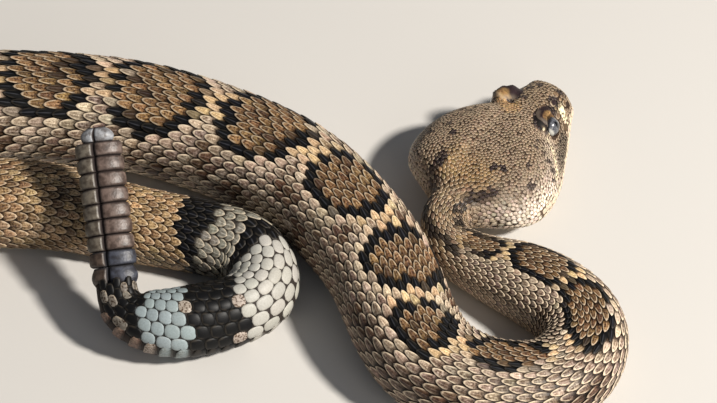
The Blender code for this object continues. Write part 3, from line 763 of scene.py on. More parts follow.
def new_mesh(name, points, faces, material, replaced=()):
    """A smooth shaded piece from arrays of points and of faces with the same number of corners."""
    mesh = bpy.data.meshes.new(name)
    corners = faces.shape[1]
    mesh.vertices.add(len(points))
    mesh.vertices.foreach_set("co", flat(points))
    mesh.loops.add(faces.size)
    mesh.loops.foreach_set("vertex_index", flat(faces, np.int32))
    mesh.polygons.add(len(faces))
    mesh.polygons.foreach_set("loop_start", np.arange(0, faces.size, corners, dtype=np.int32))
    mesh.update(calc_edges=True)
    mesh.shade_smooth()
    made = bpy.data.objects.new(name, mesh)
    bpy.context.scene.collection.objects.link(made)
    mesh.materials.append(material)
    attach(made, "root")
    if replaced:
        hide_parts(*replaced)
    return made


def even_angles(sides):
    """Angles once round a ring, the first at 0."""
    return np.linspace(0, 2 * math.pi, sides + 1)[:-1]


def ring_quads(rows, sides):
    """Faces between neighbouring rings of points, and the points' numbers by ring."""
    number = np.arange(rows * sides).reshape(rows, sides)
    near, far = number[:-1], number[1:]
    quads = np.stack([near, np.roll(near, -1, 1), np.roll(far, -1, 1), far], axis=-1)
    return quads.reshape(-1, 4), number


def closed_tube(rings):
    """Points and triangles of a tube through rings of points, closed by a middle point at each end."""
    rows, sides = rings.shape[:2]
    quads, number = ring_quads(rows, sides)
    points = rings.reshape(-1, 3)
    ends = np.array([rings[0].mean(axis=0), rings[-1].mean(axis=0)])
    front = np.stack([np.roll(number[0], -1), number[0], np.full(sides, len(points))], axis=-1)
    rear = np.stack([number[-1], np.roll(number[-1], -1), np.full(sides, len(points) + 1)], axis=-1)
    faces = np.concatenate([quads[:, [0, 1, 2]], quads[:, [0, 2, 3]], front, rear])
    return np.concatenate([points, ends]), faces[:, ::-1]


def add_colour(mesh, name, tint, alpha):
    """A colour at each point of the mesh."""
    values = np.concatenate([tint, alpha[:, None]], axis=1)
    mesh.attributes.new(name, "FLOAT_COLOR", "POINT").data.foreach_set("color", flat(values))


def add_vector(mesh, name, values):
    """Three numbers at each point of the mesh."""
    mesh.attributes.new(name, "FLOAT_VECTOR", "POINT").data.foreach_set("vector", flat(values))


def add_map(mesh, faces, values):
    """The map that colours are baked through, from a place for each point."""
    layer = mesh.uv_layers.new(name="OFBake")
    layer.data.foreach_set("uv", flat(values[faces.ravel()]))


# The unwrap of the skin: the body in strips laid over one another, and the head above them.
STRIPS = 8
EDGE = 0.008
HEAD_MAP = 0.64  # where the head's part of a map begins
BODY_MAP = 0.62  # where the body's part ends
BELLY_MAP = 0.38  # where the belly plates' part ends, on a map of their own
PATCH = 0.0034  # side of the patch that one scale takes on the map


def unwrap_body(flesh, s, turn, low=-EVEN, high=EVEN, top=1.0):
    """Place on the map of a place on the body, for the part of the turn between low and high."""
    long = flesh.s[-1] / STRIPS + 1e-9
    strip = np.clip(np.floor(s / long), 0, STRIPS - 1)
    u = EDGE + (1 - 2 * EDGE) * (s / long - strip)
    v = (turn - low) / (high - low)
    return np.stack([u, top * (strip + 0.06 + 0.86 * v) / STRIPS], axis=-1)


def unwrap_head(flesh, s, turn, base, low=-EVEN, high=EVEN):
    """Place on the map of a place on the head, for the part of the turn between low and high."""
    u = EDGE + (1 - 2 * EDGE) * (s / flesh.s[0])
    v = (turn - low) / (high - low)
    return np.stack([u, base + EDGE + (1 - base - 2 * EDGE) * v], axis=-1)


def make_skin(flesh, material):
    """One closed skin from the snout to the rattle, under the scales."""
    sides = 128
    head_s = np.concatenate([flesh.head_s[:24:2], flesh.head_s[24:]])
    body_s = np.arange(0.001, flesh.route.length, 0.0027)
    s = np.concatenate([head_s, body_s, [flesh.route.length - GAP / 2]])
    turn = np.linspace(-EVEN, EVEN, sides + 1)[:-1]
    grid_s, grid_turn = np.meshgrid(s, turn, indexing="ij")
    points, faces = closed_tube(flesh.at(grid_s, grid_turn, np.zeros_like(grid_s)))
    flat_s = np.concatenate([grid_s.ravel(), [s[0], s[-1]]])
    flat_turn = np.concatenate([grid_turn.ravel(), [0.0, 0.0]])
    nodes = ["head", "lower_jaw", "neck"]
    nodes += [name for name in sorted(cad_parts) if name.startswith(("body_", "tail_"))]
    skin = new_mesh("skin", points, faces, material, nodes)
    shown = coat_look(flesh, flat_s, flat_turn)
    add_colour(skin.data, "tint", shown[:, :3], smooth(0.004, -0.004, flat_s))
    on_head = unwrap_head(flesh, flat_s, flat_turn, HEAD_MAP)
    on_body = unwrap_body(flesh, flat_s, flat_turn, top=BODY_MAP)
    add_map(skin.data, faces, np.where((flat_s < 0)[:, None], on_head, on_body))


class ScaleForm:
    """One closed scale of unit size: along from 0 at the root to 1 at the free tip, across from -1 to 1."""

    def __init__(self, stations, across):
        inner = stations[1:-1]
        wide = len(across)
        self.along = np.concatenate([[0, 1], np.repeat(inner, wide), [0, 1], np.repeat(inner, 2)])
        ends = np.tile([-1.0, 1.0], len(inner))
        self.across = np.concatenate([[0, 0], np.tile(across, len(inner)), [0, 0], ends])
        top_count = 2 + len(inner) * wide
        self.under = np.arange(len(self.along)) >= top_count
        faces = []
        top = [[2 + i * wide + j for j in range(wide)] for i in range(len(inner))]
        low = [[top_count + 2 + 2 * i + k for k in range(2)] for i in range(len(inner))]
        first, last, low_first, low_last = 0, 1, top_count, top_count + 1
        for j in range(wide - 1):
            faces.append((first, top[0][j], top[0][j + 1]))
            faces.append((last, top[-1][j + 1], top[-1][j]))
        for near, far in zip(top, top[1:]):
            for j in range(wide - 1):
                faces.append((near[j], far[j], far[j + 1]))
                faces.append((near[j], far[j + 1], near[j + 1]))
        left = [first] + [row[0] for row in top] + [last]
        right = [first] + [row[-1] for row in top] + [last]
        low_left = [low_first] + [row[0] for row in low] + [low_last]
        low_right = [low_first] + [row[1] for row in low] + [low_last]
        for k in range(len(left) - 1):
            faces.append((left[k], low_left[k], low_left[k + 1]))
            faces.append((left[k], low_left[k + 1], left[k + 1]))
            faces.append((right[k], low_right[k + 1], low_right[k]))
            faces.append((right[k], right[k + 1], low_right[k + 1]))
            if k:
                faces.append((low_left[k], low_right[k], low_right[k + 1]))
            faces.append((low_left[k], low_right[k + 1], low_left[k + 1]))
        faces = [face for face in faces if len(set(face)) == 3]
        self.faces = np.array(faces)


BODY_FORM = ScaleForm([0, 0.05, 0.18, 0.36, 0.56, 0.74, 0.90, 1], [-1, -0.72, -0.22, 0, 0.22, 0.72, 1])
HEAD_FORM = ScaleForm([0, 0.10, 0.36, 0.66, 0.90, 1], [-1, -0.55, 0, 0.55, 1])
PLATE_FORM = ScaleForm(
    [0, 0.03, 0.12, 0.3, 0.5, 0.7, 0.88, 0.97, 1],
    [-1, -0.9, -0.6, -0.2, 0.2, 0.6, 0.9, 1],
)
BROW_FORM = ScaleForm(list(np.linspace(0, 1, 19)), list(np.linspace(-1, 1, 17)))
WIDEST = 0.45  # where a scale is widest, from root to tip


def outline(along, square, plain):
    """Half width of a scale along it.

    A square of 2 makes a leaf with a pointed tip, or a disc if plain, and 4 makes a rounded block.
    """
    root = np.clip((WIDEST - along) / WIDEST, 0, 1)
    tip = np.clip((along - WIDEST) / (1 - WIDEST), 0, 1)
    fuller = square + 0.4 * (1 - plain)
    front = np.clip(1 - root**fuller, 0, 1) ** (1 / fuller)
    rear = np.clip(1 - tip**square, 0, 1) ** ((1.35 - 0.35 * plain) / square)
    return np.where(along < WIDEST, front, rear)


def lay_scales(flesh, form, spec):
    """Many scales laid on the skin: their points, faces, place within the scale, and distance and turn.

    spec holds arrays: s, turn, long, wide and square (of the outline), and where they aren't 0 also yaw,
    rise (of the tip), dome, keel and plain.
    """
    count = len(spec["s"])
    along, across = form.along[None], form.across[None]

    def column(name):
        return np.broadcast_to(np.asarray(spec.get(name, 0.0), float), (count,))[:, None]

    forward = (along - 0.52) * column("long")
    aside = across * outline(along, column("square"), column("plain")) * column("wide") / 2
    cos, sin = np.cos(column("yaw")), np.sin(column("yaw"))
    stretch = flesh.stretch_at(spec["s"], spec["turn"])[:, None]
    s = column("s") + (forward * cos - aside * sin) / stretch
    girth = flesh.girth_at(spec["s"])[:, None]
    turn = column("turn") + (forward * sin + aside * cos) / girth
    rise = column("rise") * (1.15 * along - 0.15)
    round_over = np.sqrt(np.clip(1 - across**2, 0, 1)) * np.sin(math.pi * np.clip(along, 0, 1)) ** 0.5
    dome = column("dome") * round_over
    keel = column("keel") * hump(across, 0.15) * smooth(0.05, 0.25, along) * smooth(1.0, 0.85, along)
    thick = 0.30 * column("rise") + 0.35 * column("dome")
    height = rise + np.where(form.under[None], -thick, dome + keel)
    points = flesh.at(s, turn, height)
    faces = form.faces[None] + (np.arange(count) * len(form.along))[:, None, None]
    keeled = np.broadcast_to((column("keel") > 0).astype(float), s.shape)
    inner = np.stack([np.broadcast_to(along, s.shape), np.broadcast_to(across, s.shape), keeled], axis=-1)
    return points.reshape(-1, 3), faces.reshape(-1, 3), inner.reshape(-1, 3), s, turn


def coat_piece(flesh, name, groups, material):
    """One mesh of many scales, from groups of form, spec, look and root on the map.

    A look is one for each scale, or one for each point of each scale.
    """
    points, faces, inners, looks, places, plain = [], [], [], [], [], []
    start = 0
    for form, spec, shown, root in groups:
        per = len(form.along)
        plain.append(np.repeat(np.broadcast_to(spec.get("plain", 0.0), len(spec["s"])), per))
        made, made_faces, inner, _, _ = lay_scales(flesh, form, spec)
        points.append(made)
        faces.append(made_faces + start)
        start += len(made)
        inners.append(inner)
        looks.append(np.repeat(shown, per, axis=0) if len(shown) < len(made) else shown)
        patch = np.stack([inner[:, 0] - EVEN, inner[:, 1] / 2], axis=-1) * PATCH
        places.append(np.repeat(root, per, axis=0) + patch)
    faces = np.concatenate(faces)
    shown = np.concatenate(looks)
    made = new_mesh(name, np.concatenate(points), faces, material)
    add_colour(made.data, "tint", shown[:, :3], shown[:, 3])
    detail = np.stack([shown[:, 4], shown[:, 5], np.concatenate(plain)], axis=-1)
    add_vector(made.data, "detail", detail)
    add_vector(made.data, "inner", np.concatenate(inners))
    add_map(made.data, faces, np.clip(np.concatenate(places), 0.0005, 0.9995))


def row_turn(row, s):
    """Where a row of scales lies round the body: rows are narrow on the back and wider down the flanks."""
    share = np.clip(2 * row / rows_at(s), -1, 1)
    crowd = CROWD[0] + (CROWD[1] - CROWD[0]) * smooth(1.04, 1.08, s)
    return BELLY_TURN * share * (1 - crowd * (1 - np.abs(share)))


def row_width(row, s, flesh):
    """Distance between a row of scales and the next."""
    outer = np.abs(row)
    return (row_turn(outer + EVEN, s) - row_turn(outer - EVEN, s)) * flesh.girth_at(s)


def counted(start, end):
    """Distances from start to end, and how many scales lie before each."""
    fine = np.linspace(start, end, 6000)
    return fine, np.concatenate([[0], np.cumsum(np.diff(fine) / pitch_at(fine[1:]))])


def row_scales(flesh, row, rng):
    """Every scale of one row along the body and tail."""
    fine, column = counted(-0.004, flesh.route.length + 0.004)
    half = EVEN * (row % 2)
    s = np.interp(np.arange(1, int(column[-1] + EVEN)) + half, column, fine)
    s = s[s < flesh.route.length - 0.0002]
    s = s[2 * np.abs(row) < rows_at(s) - 0.75]
    s = s + rng.normal(0, 0.03, len(s)) * pitch_at(s)
    return s, row_turn(row, s)


def dorsal_spec(flesh, s, turn, row, rng):
    """Sizes of the scales of the back and flanks: long and lapped, and plain discs at the tail's end."""
    pitch = pitch_at(s)
    width = row_width(row, s, flesh)
    vary = rng.normal(0, 1, (4, len(s)))
    flank = smooth(0.55, 1.0, np.abs(2 * row) / rows_at(s))
    plain = smooth(1.070, 1.082, s)
    stretch = flesh.stretch_at(s, turn)
    crowded = between(np.clip(0.25 + 0.75 * stretch, 0.40, 1.6), np.clip(stretch, 0.55, 1.6), plain)
    length = between(1.42 + 0.05 * vary[0], 1.02, plain)
    width_share = between(1.08 + 0.04 * vary[1] + 0.10 * flank, 1.10, plain)
    folded = smooth(0.85, 0.55, stretch) * (1 - plain)
    return {
        "s": s,
        "turn": turn,
        "long": pitch * length * crowded * (1 - 0.25 * folded),
        "wide": width * width_share,
        "yaw": 0.08 * vary[2] * (1 - 0.6 * plain),
        "square": 1.85 + 0.05 * flank * (1 - plain) + 0.75 * plain,
        "rise": pitch * between(0.105 + 0.012 * vary[3] + 0.08 * folded, 0.020, plain),
        "dome": pitch * (0.030 + 0.045 * plain),
        "plain": plain,
        "keel": pitch * 0.026 * (1 - flank) * (1 - plain),
    }


# The pieces of the coat: each one's rows on the body, and the turns that it lies between on the head.
COAT_BANDS = [
    ("scales_back", range(-2, 3), -0.09, 0.09),
    ("scales_left_upper", range(-7, -2), -0.22, -0.09),
    ("scales_left_lower", range(-12, -7), -0.50, -0.22),
    ("scales_right_upper", range(3, 8), 0.09, 0.22),
    ("scales_right_lower", range(8, 13), 0.22, 0.50),
]


def make_coat(flesh, material):
    """All the scales in five bands, each the whole length of the animal."""
    head = head_groups(flesh)
    for number, (name, rows, _, _) in enumerate(COAT_BANDS):
        rng = np.random.default_rng(100 + number)
        specs, roots = [], []
        low, high = (rows[0] - 1) / MOST_ROWS, (rows[-1] + 1) / MOST_ROWS
        for row in rows:
            s, turn = row_scales(flesh, row, rng)
            specs.append(dorsal_spec(flesh, s, turn, row, rng))
            middle = np.full(len(s), row / MOST_ROWS)
            roots.append(unwrap_body(flesh, np.maximum(s, 0), middle, low, high, BODY_MAP))
        spec = {key: np.concatenate([one[key] for one in specs]) for key in specs[0]}
        shown = coat_look(flesh, spec["s"], spec["turn"], seed=40 + number)
        body = (BODY_FORM, spec, shown, np.concatenate(roots))
        coat_piece(flesh, name, [body] + head[name], material)


def head_scale_size(local):
    """Distance between neighbouring scales on the head: fine on crown and snout, coarser low and behind."""
    forward, up = local[:, 0], local[:, 2]
    cheek = smooth(0.006, -0.003, up) * smooth(0.044, 0.030, forward)
    rear = smooth(0.018, 0.002, forward)
    snout = smooth(0.046, 0.054, forward) * smooth(0.0, 0.003, up)
    chin = smooth(-0.007, -0.009, up)
    return 0.00104 + 0.00050 * cheek + 0.00052 * rear + 0.00020 * snout + 0.0007 * chin


def ring_turn(flesh, forward, right, up):
    """The turn of the head's surface nearest to a place, all in metres."""
    ring = np.argmin(np.abs(flesh.head_s + forward))
    gap = np.hypot(flesh.local[ring, :, 1] - right, flesh.local[ring, :, 2] - up)
    return float(np.linspace(-EVEN, EVEN, flesh.TURNS + 1)[np.argmin(gap)])


# The plates of the right side, in millimetres: forward, right, up, length, width, turn of the plate in
# degrees, and how square it is.
HEAD_PLATES = [
    (45.4, 9.2, 9.2, 12.8, 8.0, 4, 3.0),
    (53.2, 6.6, 7.2, 3.6, 2.6, -10, 2.6),
    (57.0, 4.4, 6.6, 3.2, 2.6, -10, 2.6),
    (60.4, 1.9, 5.2, 2.4, 2.8, 0, 2.8),
    (51.2, 10.4, 5.0, 3.2, 2.0, 0, 2.8),
    (50.3, 12.6, 1.2, 2.8, 1.9, 0, 2.8),
    (55.0, 9.4, 3.8, 3.0, 2.4, 0, 2.8),
    (57.8, 8.2, 3.4, 2.2, 2.4, 0, 2.8),
    (60.6, 7.2, 2.0, 2.0, 3.0, 0, 2.8),
]
# The ring of small plates round the eye, in degrees: 0 is ahead and -90 below.
EYE_RING = (-205, -180, -157, -134, -112, -90, -68, -46, -22, 2)
EYE_RING_RADII = (0.0042, 0.0033)  # ahead and up
LIP_PLATES = 16
BROW_FROM = 0.010  # a plate longer than this is one of the two over the eyes
FAR_BROW_SHIFT = (-0.0009, 0.012)  # move of the plate over the far eye: distance and turn


def plate_specs(flesh):
    """Sizes and places of the plates: over the eyes, round them, on the snout and along the lips."""
    rows = []
    for ahead, aside, up, long, wide, yaw, square in HEAD_PLATES:
        turn = ring_turn(flesh, ahead / 1000, aside / 1000, up / 1000)
        rows.append((-ahead / 1000, turn, long / 1000, wide / 1000, math.radians(yaw), square, 0.00010))
    for degrees in EYE_RING:
        angle = math.radians(degrees)
        ahead = EYE_PLACE[0] + EYE_RING_RADII[0] * math.cos(angle)
        up = EYE_PLACE[2] + EYE_RING_RADII[1] * math.sin(angle)
        turn = flesh.turn_at_level(ahead, up)
        rows.append((-ahead, turn, 0.0019, 0.0015, angle + math.pi / 2, 2.8, 0.00004))
    edges = np.linspace(MOUTH_CORNER + 0.001, 0.0605, LIP_PLATES + 1)
    for near, far in zip(edges, edges[1:]):
        ahead = (near + far) / 2
        for aside in (1.35, -1.35):
            level = mouth_level(ahead) + aside / 1000
            turn = flesh.turn_at_level(ahead, level)
            rows.append((-ahead, turn, (far - near) * 1.04, 0.0023, 0.0, 3.4, 0.00007))
    right = np.array(rows)
    left = right * [1, -1, 1, 1, -1, 1, 1]
    left[0, :2] += FAR_BROW_SHIFT
    both = np.concatenate([right, left])
    s, turn, long, wide, yaw, square, rise = both.T
    return {
        "s": s,
        "turn": turn,
        "long": long,
        "wide": wide,
        "yaw": yaw,
        "square": square,
        "rise": rise,
        "dome": np.where(long > BROW_FROM, 0.05, 0.10) * np.minimum(long, wide),
        "plain": np.ones(len(s)),
    }


SCATTER_TRIES = 60000
SCATTER_FROM = -0.0632  # the small scales of the head begin here, at the snout
SCATTER_CELL = 0.002  # side of the cells that neighbours are looked up by
PUSHES = 14
NEIGHBOURS = 8  # places that are looked at round each, itself too
PLATE_MARGINS = (0.35, 0.22)  # clear of the plates before and after the pushes, in millimetres


def scattered(flesh, rng, plates):
    """Places of the small scales: thrown at random, then pushed apart until they lie evenly."""
    s = rng.uniform(SCATTER_FROM, 0.0010, SCATTER_TRIES)
    turn = rng.uniform(-EVEN, EVEN, SCATTER_TRIES)
    local = flesh.in_head(s, turn)
    size = head_scale_size(local)
    cells = {}
    kept = []
    for k in np.flatnonzero(clear_of_plates(flesh, local, plates, PLATE_MARGINS[0])):
        cell = tuple(int(part // SCATTER_CELL) for part in local[k])
        beside_it = itertools.product(*[(part - 1, part, part + 1) for part in cell])
        near = [m for key in beside_it for m in cells.get(key, ())]
        reach = 0.40 * size[k]
        if all(math.dist(local[k], local[m]) > reach + 0.40 * size[m] for m in near):
            cells.setdefault(cell, []).append(k)
            kept.append(k)
    s, turn = s[kept], turn[kept]
    for _ in range(PUSHES):
        local = flesh.in_head(s, turn)
        size = head_scale_size(local)
        tree = KDTree(len(s))
        for k, place in enumerate(local):
            tree.insert(place, k)
        tree.balance()
        push = np.zeros_like(local)
        for k, place in enumerate(local):
            for _, m, gap in tree.find_n(place, NEIGHBOURS)[1:]:
                wanted = 0.54 * (size[k] + size[m])
                if gap < wanted:
                    push[k] += (place - local[m]) / max(gap, 1e-6) * (wanted - gap) * 0.35
        ahead = unit(flesh.in_head(s + 0.0003, turn) - local)
        round_ring = unit(flesh.in_head(s, turn + 0.002) - local)
        s = s + np.sum(push * ahead, axis=1) / flesh.stretch_at(s, turn)
        turn = turn + np.sum(push * round_ring, axis=1) / flesh.girth_at(s)
        s = np.clip(s, SCATTER_FROM, 0.0020)
    local = flesh.in_head(s, turn)
    clear = clear_of_plates(flesh, local, plates, PLATE_MARGINS[1])
    return s[clear], np.mod(turn[clear] + EVEN, 1.0) - EVEN, head_scale_size(local[clear])


def clear_of_plates(flesh, local, plates, margin):
    """Which places are outside every plate, the eyes, the pits and the nostrils."""
    clear = from_eye(local) > EYE_RADIUS + 0.0018
    for hole, rim in ((PIT_PLACE, 0.0015), (NOSTRIL_PLACE, 0.0011)):
        clear &= np.hypot(local[:, 0] - hole[0], local[:, 2] - hole[2]) > rim
    middles = flesh.in_head(plates["s"], plates["turn"])
    for middle, long, wide, yaw in zip(middles, plates["long"], plates["wide"], plates["yaw"]):
        away = local - middle
        along = -away[:, 0]
        aside = np.sign(away[:, 1] * middle[2] - away[:, 2] * middle[1]) * np.hypot(away[:, 1], away[:, 2])
        ahead = along * math.cos(yaw) + aside * math.sin(yaw)
        beside_it = aside * math.cos(yaw) - along * math.sin(yaw)
        reach = np.hypot(ahead / (long / 2 + margin / 1000), beside_it / (wide / 2 + margin / 1000))
        clear &= reach > 1
    return clear


def head_groups(flesh):
    """The small scales and the plates of the head, shared out among the bands."""
    rng = np.random.default_rng(11)
    plates = plate_specs(flesh)
    s, turn, size = scattered(flesh, rng, plates)
    count = len(s)
    local = flesh.in_head(s, turn)
    chin = smooth(-0.007, -0.009, local[:, 2])
    spec = {
        "s": s,
        "turn": turn,
        "long": size * (1.42 + 0.05 * rng.normal(0, 1, count)),
        "wide": size * (1.13 + 0.05 * rng.normal(0, 1, count)),
        "yaw": rng.normal(0, 0.10, count),
        "square": 2.3 + 0.5 * chin,
        "rise": size * (0.20 - 0.13 * chin),
        "dome": size * 0.11,
        "keel": size * 0.05 * (1 - chin),
        "plain": np.full(count, 0.45),
    }
    brow = plates["long"] > BROW_FROM
    kinds = [
        (HEAD_FORM, spec, size > 0, False),
        (PLATE_FORM, plates, ~brow, True),
        (BROW_FORM, plates, brow, True),
    ]
    groups = {}
    for name, _, low, high in COAT_BANDS:
        groups[name] = []
        for form, whole, of_kind, by_point in kinds:
            part = of_kind & (whole["turn"] >= low) & (whole["turn"] < high)
            if not part.any():
                continue
            own = {key: value[part] for key, value in whole.items()}
            if by_point:
                _, _, _, at_s, at_turn = lay_scales(flesh, form, own)
                shown = coat_look(flesh, at_s, at_turn, seed=61).reshape(-1, len(BLACK))
            else:
                shown = coat_look(flesh, own["s"], own["turn"], seed=60)
            root = unwrap_head(flesh, np.minimum(own["s"], 0), own["turn"], HEAD_MAP, low, high)
            groups[name].append((form, own, shown, root))
    return groups


def make_scutes(flesh, material):
    """The broad plates of the belly, one for each row of scales, to the end of the tail."""
    fine, column = counted(0.002, flesh.route.length - 0.002)
    s = np.interp(np.arange(int(column[-1])), column, fine)
    across = np.linspace(-1, 1, 17)
    form = ScaleForm([0, 0.10, 0.40, 0.75, 0.94, 1], list(across))
    pitch = pitch_at(s)
    count = len(s)
    spec = {
        "s": s,
        "turn": np.full(count, EVEN),
        "long": pitch * 1.25,
        "wide": 2 * (EVEN - BELLY_TURN) * flesh.girth_at(s) * 1.12,
        "square": np.full(count, 5.0),
        "rise": pitch * 0.09,
        "dome": pitch * 0.02,
    }
    rng = np.random.default_rng(8)
    band, cover = tail_look(flesh, s, spec["turn"] - 0.001, rng)
    shown = mixed(np.broadcast_to(BELLY, band.shape), band, cover)
    root = unwrap_body(flesh, s, np.zeros(count), top=BELLY_MAP)
    coat_piece(flesh, "belly_plates", [(form, spec, shown, root)], material)


def make_eye(flesh, side, name, material):
    """One eye: a clear ball with an upright slit, its look kept in each point's own place on the ball."""
    rows, sides = 32, 48
    axis = unit(np.array([0.34, side, 0.10]))
    upright = unit(np.array([0.0, 0.0, 1.0]) - axis * axis[2])
    third = np.cross(upright, axis)
    down = np.linspace(0, math.pi, rows + 1)
    polar, azimuth = np.meshgrid(down, even_angles(sides), indexing="ij")
    flat_gaze = np.sin(polar)
    gaze = np.stack([flat_gaze * np.cos(azimuth), flat_gaze * np.sin(azimuth), np.cos(polar)], axis=-1)
    gaze = gaze.reshape(-1, 3)
    centre = np.array([EYE_PLACE[0], side * EYE_PLACE[1], EYE_PLACE[2]])
    local = centre + EYE_RADIUS * (gaze[:, :1] * third + gaze[:, 1:2] * upright + gaze[:, 2:] * axis)
    quads = np.roll(ring_quads(rows + 1, sides)[0], -1, axis=1)
    made = new_mesh(name, flesh.origin + local @ flesh.axes, quads, material, [name[5:]])
    add_vector(made.data, "gaze", gaze * [side, 1, 1])


def rattle_surface(route, s, scale, sides):
    """Points round the rattle at distances s: two lobes with a groove along each side between them."""
    place, _, back, right = route.at(s)
    angle = even_angles(sides)
    over = np.cos(angle)[None]
    from_groove = over - GROOVE_PLACE
    waist = 1 - GROOVE[0] * hump(from_groove, GROOVE[1])
    waist = waist - GROOVE_SIDES[0] * hump(from_groove, GROOVE_SIDES[1])
    height = over * scale[:, None] * RATTLE_HEIGHT / 2
    thick = np.sin(angle)[None] * waist * scale[:, None] * RATTLE_THICK / 2
    return place[:, None] + back[:, None] * height[:, :, None] + right[:, None] * thick[:, :, None]


def rattle_piece(route, node, number, profile, material):
    """One piece of the rattle, finer than its solid."""
    sides = 88
    start = route.length + number * SEGMENT_PITCH + GAP / 2
    long = SEGMENT_PITCH - GAP
    knots, scales = np.array(profile).T
    part = np.linspace(0, 1, 25)
    scale = natural_spline(knots, scales, part)[:, 0]
    into_tail = BASE_INTO_TAIL * (1 - part) * (number == 0)
    points, faces = closed_tube(rattle_surface(route, start + part * long - into_tail, scale, sides))
    made = new_mesh("horn_" + node[7:], points, faces, material, [node])
    inner = np.zeros((len(points), 3))
    inner[:-2, 0] = np.repeat(part, sides)
    inner[:-2, 1] = np.tile(np.cos(even_angles(sides)), len(part))
    inner[-1, 0] = 1.0
    inner[:, 2] = number / (SEGMENTS + 1)
    add_vector(made.data, "inner", inner)


def make_rattle(route, horn, base_horn):
    """The base, the segments and the worn tip."""
    rattle_piece(route, "rattle_base", 0, BASE_PROFILE, base_horn)
    for number in range(1, SEGMENTS + 1):
        material = base_horn if number == 1 else horn
        rattle_piece(route, f"rattle_{number:02d}", number, SEGMENT_PROFILE, material)
    rattle_piece(route, "rattle_tip", SEGMENTS + 1, TIP_PROFILE, horn)


# Materials.


class Shader:
    """A new material and short ways to add the nodes that it is made of."""

    def __init__(self, name, roughness, specular=0.5):
        self.material = bpy.data.materials.new(name)
        self.material.use_nodes = True
        self.tree = self.material.node_tree
        self.surface = self.tree.nodes["Principled BSDF"]
        self.surface.inputs["Roughness"].default_value = roughness
        self.surface.inputs["Specular IOR Level"].default_value = specular

    def link(self, value, socket):
        """Gives a socket another's value, or a plain one."""
        if isinstance(value, bpy.types.NodeSocket):
            self.tree.links.new(value, socket)
        else:
            socket.default_value = value

    def node(self, kind):
        return self.tree.nodes.new("ShaderNode" + kind)

    def attribute(self, name):
        node = self.node("Attribute")
        node.attribute_name = name
        return node

    def parts(self, name):
        """The three numbers of a vector kept at the points."""
        split = self.node("SeparateXYZ")
        self.tree.links.new(self.attribute(name).outputs["Vector"], split.inputs[0])
        return split.outputs

    def math(self, operation, a, b=0.0, clamp=False):
        node = self.node("Math")
        node.operation = operation
        node.use_clamp = clamp
        self.link(a, node.inputs[0])
        self.link(b, node.inputs[1])
        return node.outputs[0]

    def product(self, first, *others):
        """Values multiplied one after another."""
        for other in others:
            first = self.math("MULTIPLY", first, other)
        return first

    def step(self, value, low, high):
        """A soft step of a value from 0 at low to 1 at high."""
        node = self.node("MapRange")
        node.interpolation_type = "SMOOTHSTEP"
        self.link(value, node.inputs["Value"])
        node.inputs["From Min"].default_value = low
        node.inputs["From Max"].default_value = high
        return node.outputs["Result"]

    def noise(self, size, detail=2.0):
        """Noise with features of about a size in metres, fixed to the object."""
        where = self.node("TexCoord")
        node = self.node("TexNoise")
        node.inputs["Scale"].default_value = 1 / size
        node.inputs["Detail"].default_value = detail
        self.tree.links.new(where.outputs["Object"], node.inputs["Vector"])
        return node.outputs["Fac"]

    def mix(self, a, b, share, blend="MIX"):
        node = self.node("Mix")
        node.data_type = "RGBA"
        node.blend_type = blend
        self.link(share, node.inputs["Factor"])
        self.link(a, node.inputs["A"])
        self.link(b, node.inputs["B"])
        return node.outputs["Result"]

    def darker(self, base, share_left, amount):
        """A colour multiplied by a part that is left of each light, by an amount from 0 to 1."""
        return self.mix(base, self.mix(base, (*share_left, 1.0), 1.0, "MULTIPLY"), amount)

    def lighter(self, base, times, amount):
        """A colour made brighter by a factor, by an amount from 0 to 1."""
        node = self.node("VectorMath")
        node.operation = "SCALE"
        self.link(base, node.inputs[0])
        node.inputs["Scale"].default_value = times
        return self.mix(base, node.outputs["Vector"], amount)

    def bump(self, height, distance, strength=1.0):
        node = self.node("Bump")
        node.inputs["Distance"].default_value = distance
        node.inputs["Strength"].default_value = strength
        self.link(height, node.inputs["Height"])
        self.link(node.outputs["Normal"], self.surface.inputs["Normal"])


def rgba(red, green, blue):
    """A screen colour with full cover."""
    return (*colour(red, green, blue).tolist(), 1.0)


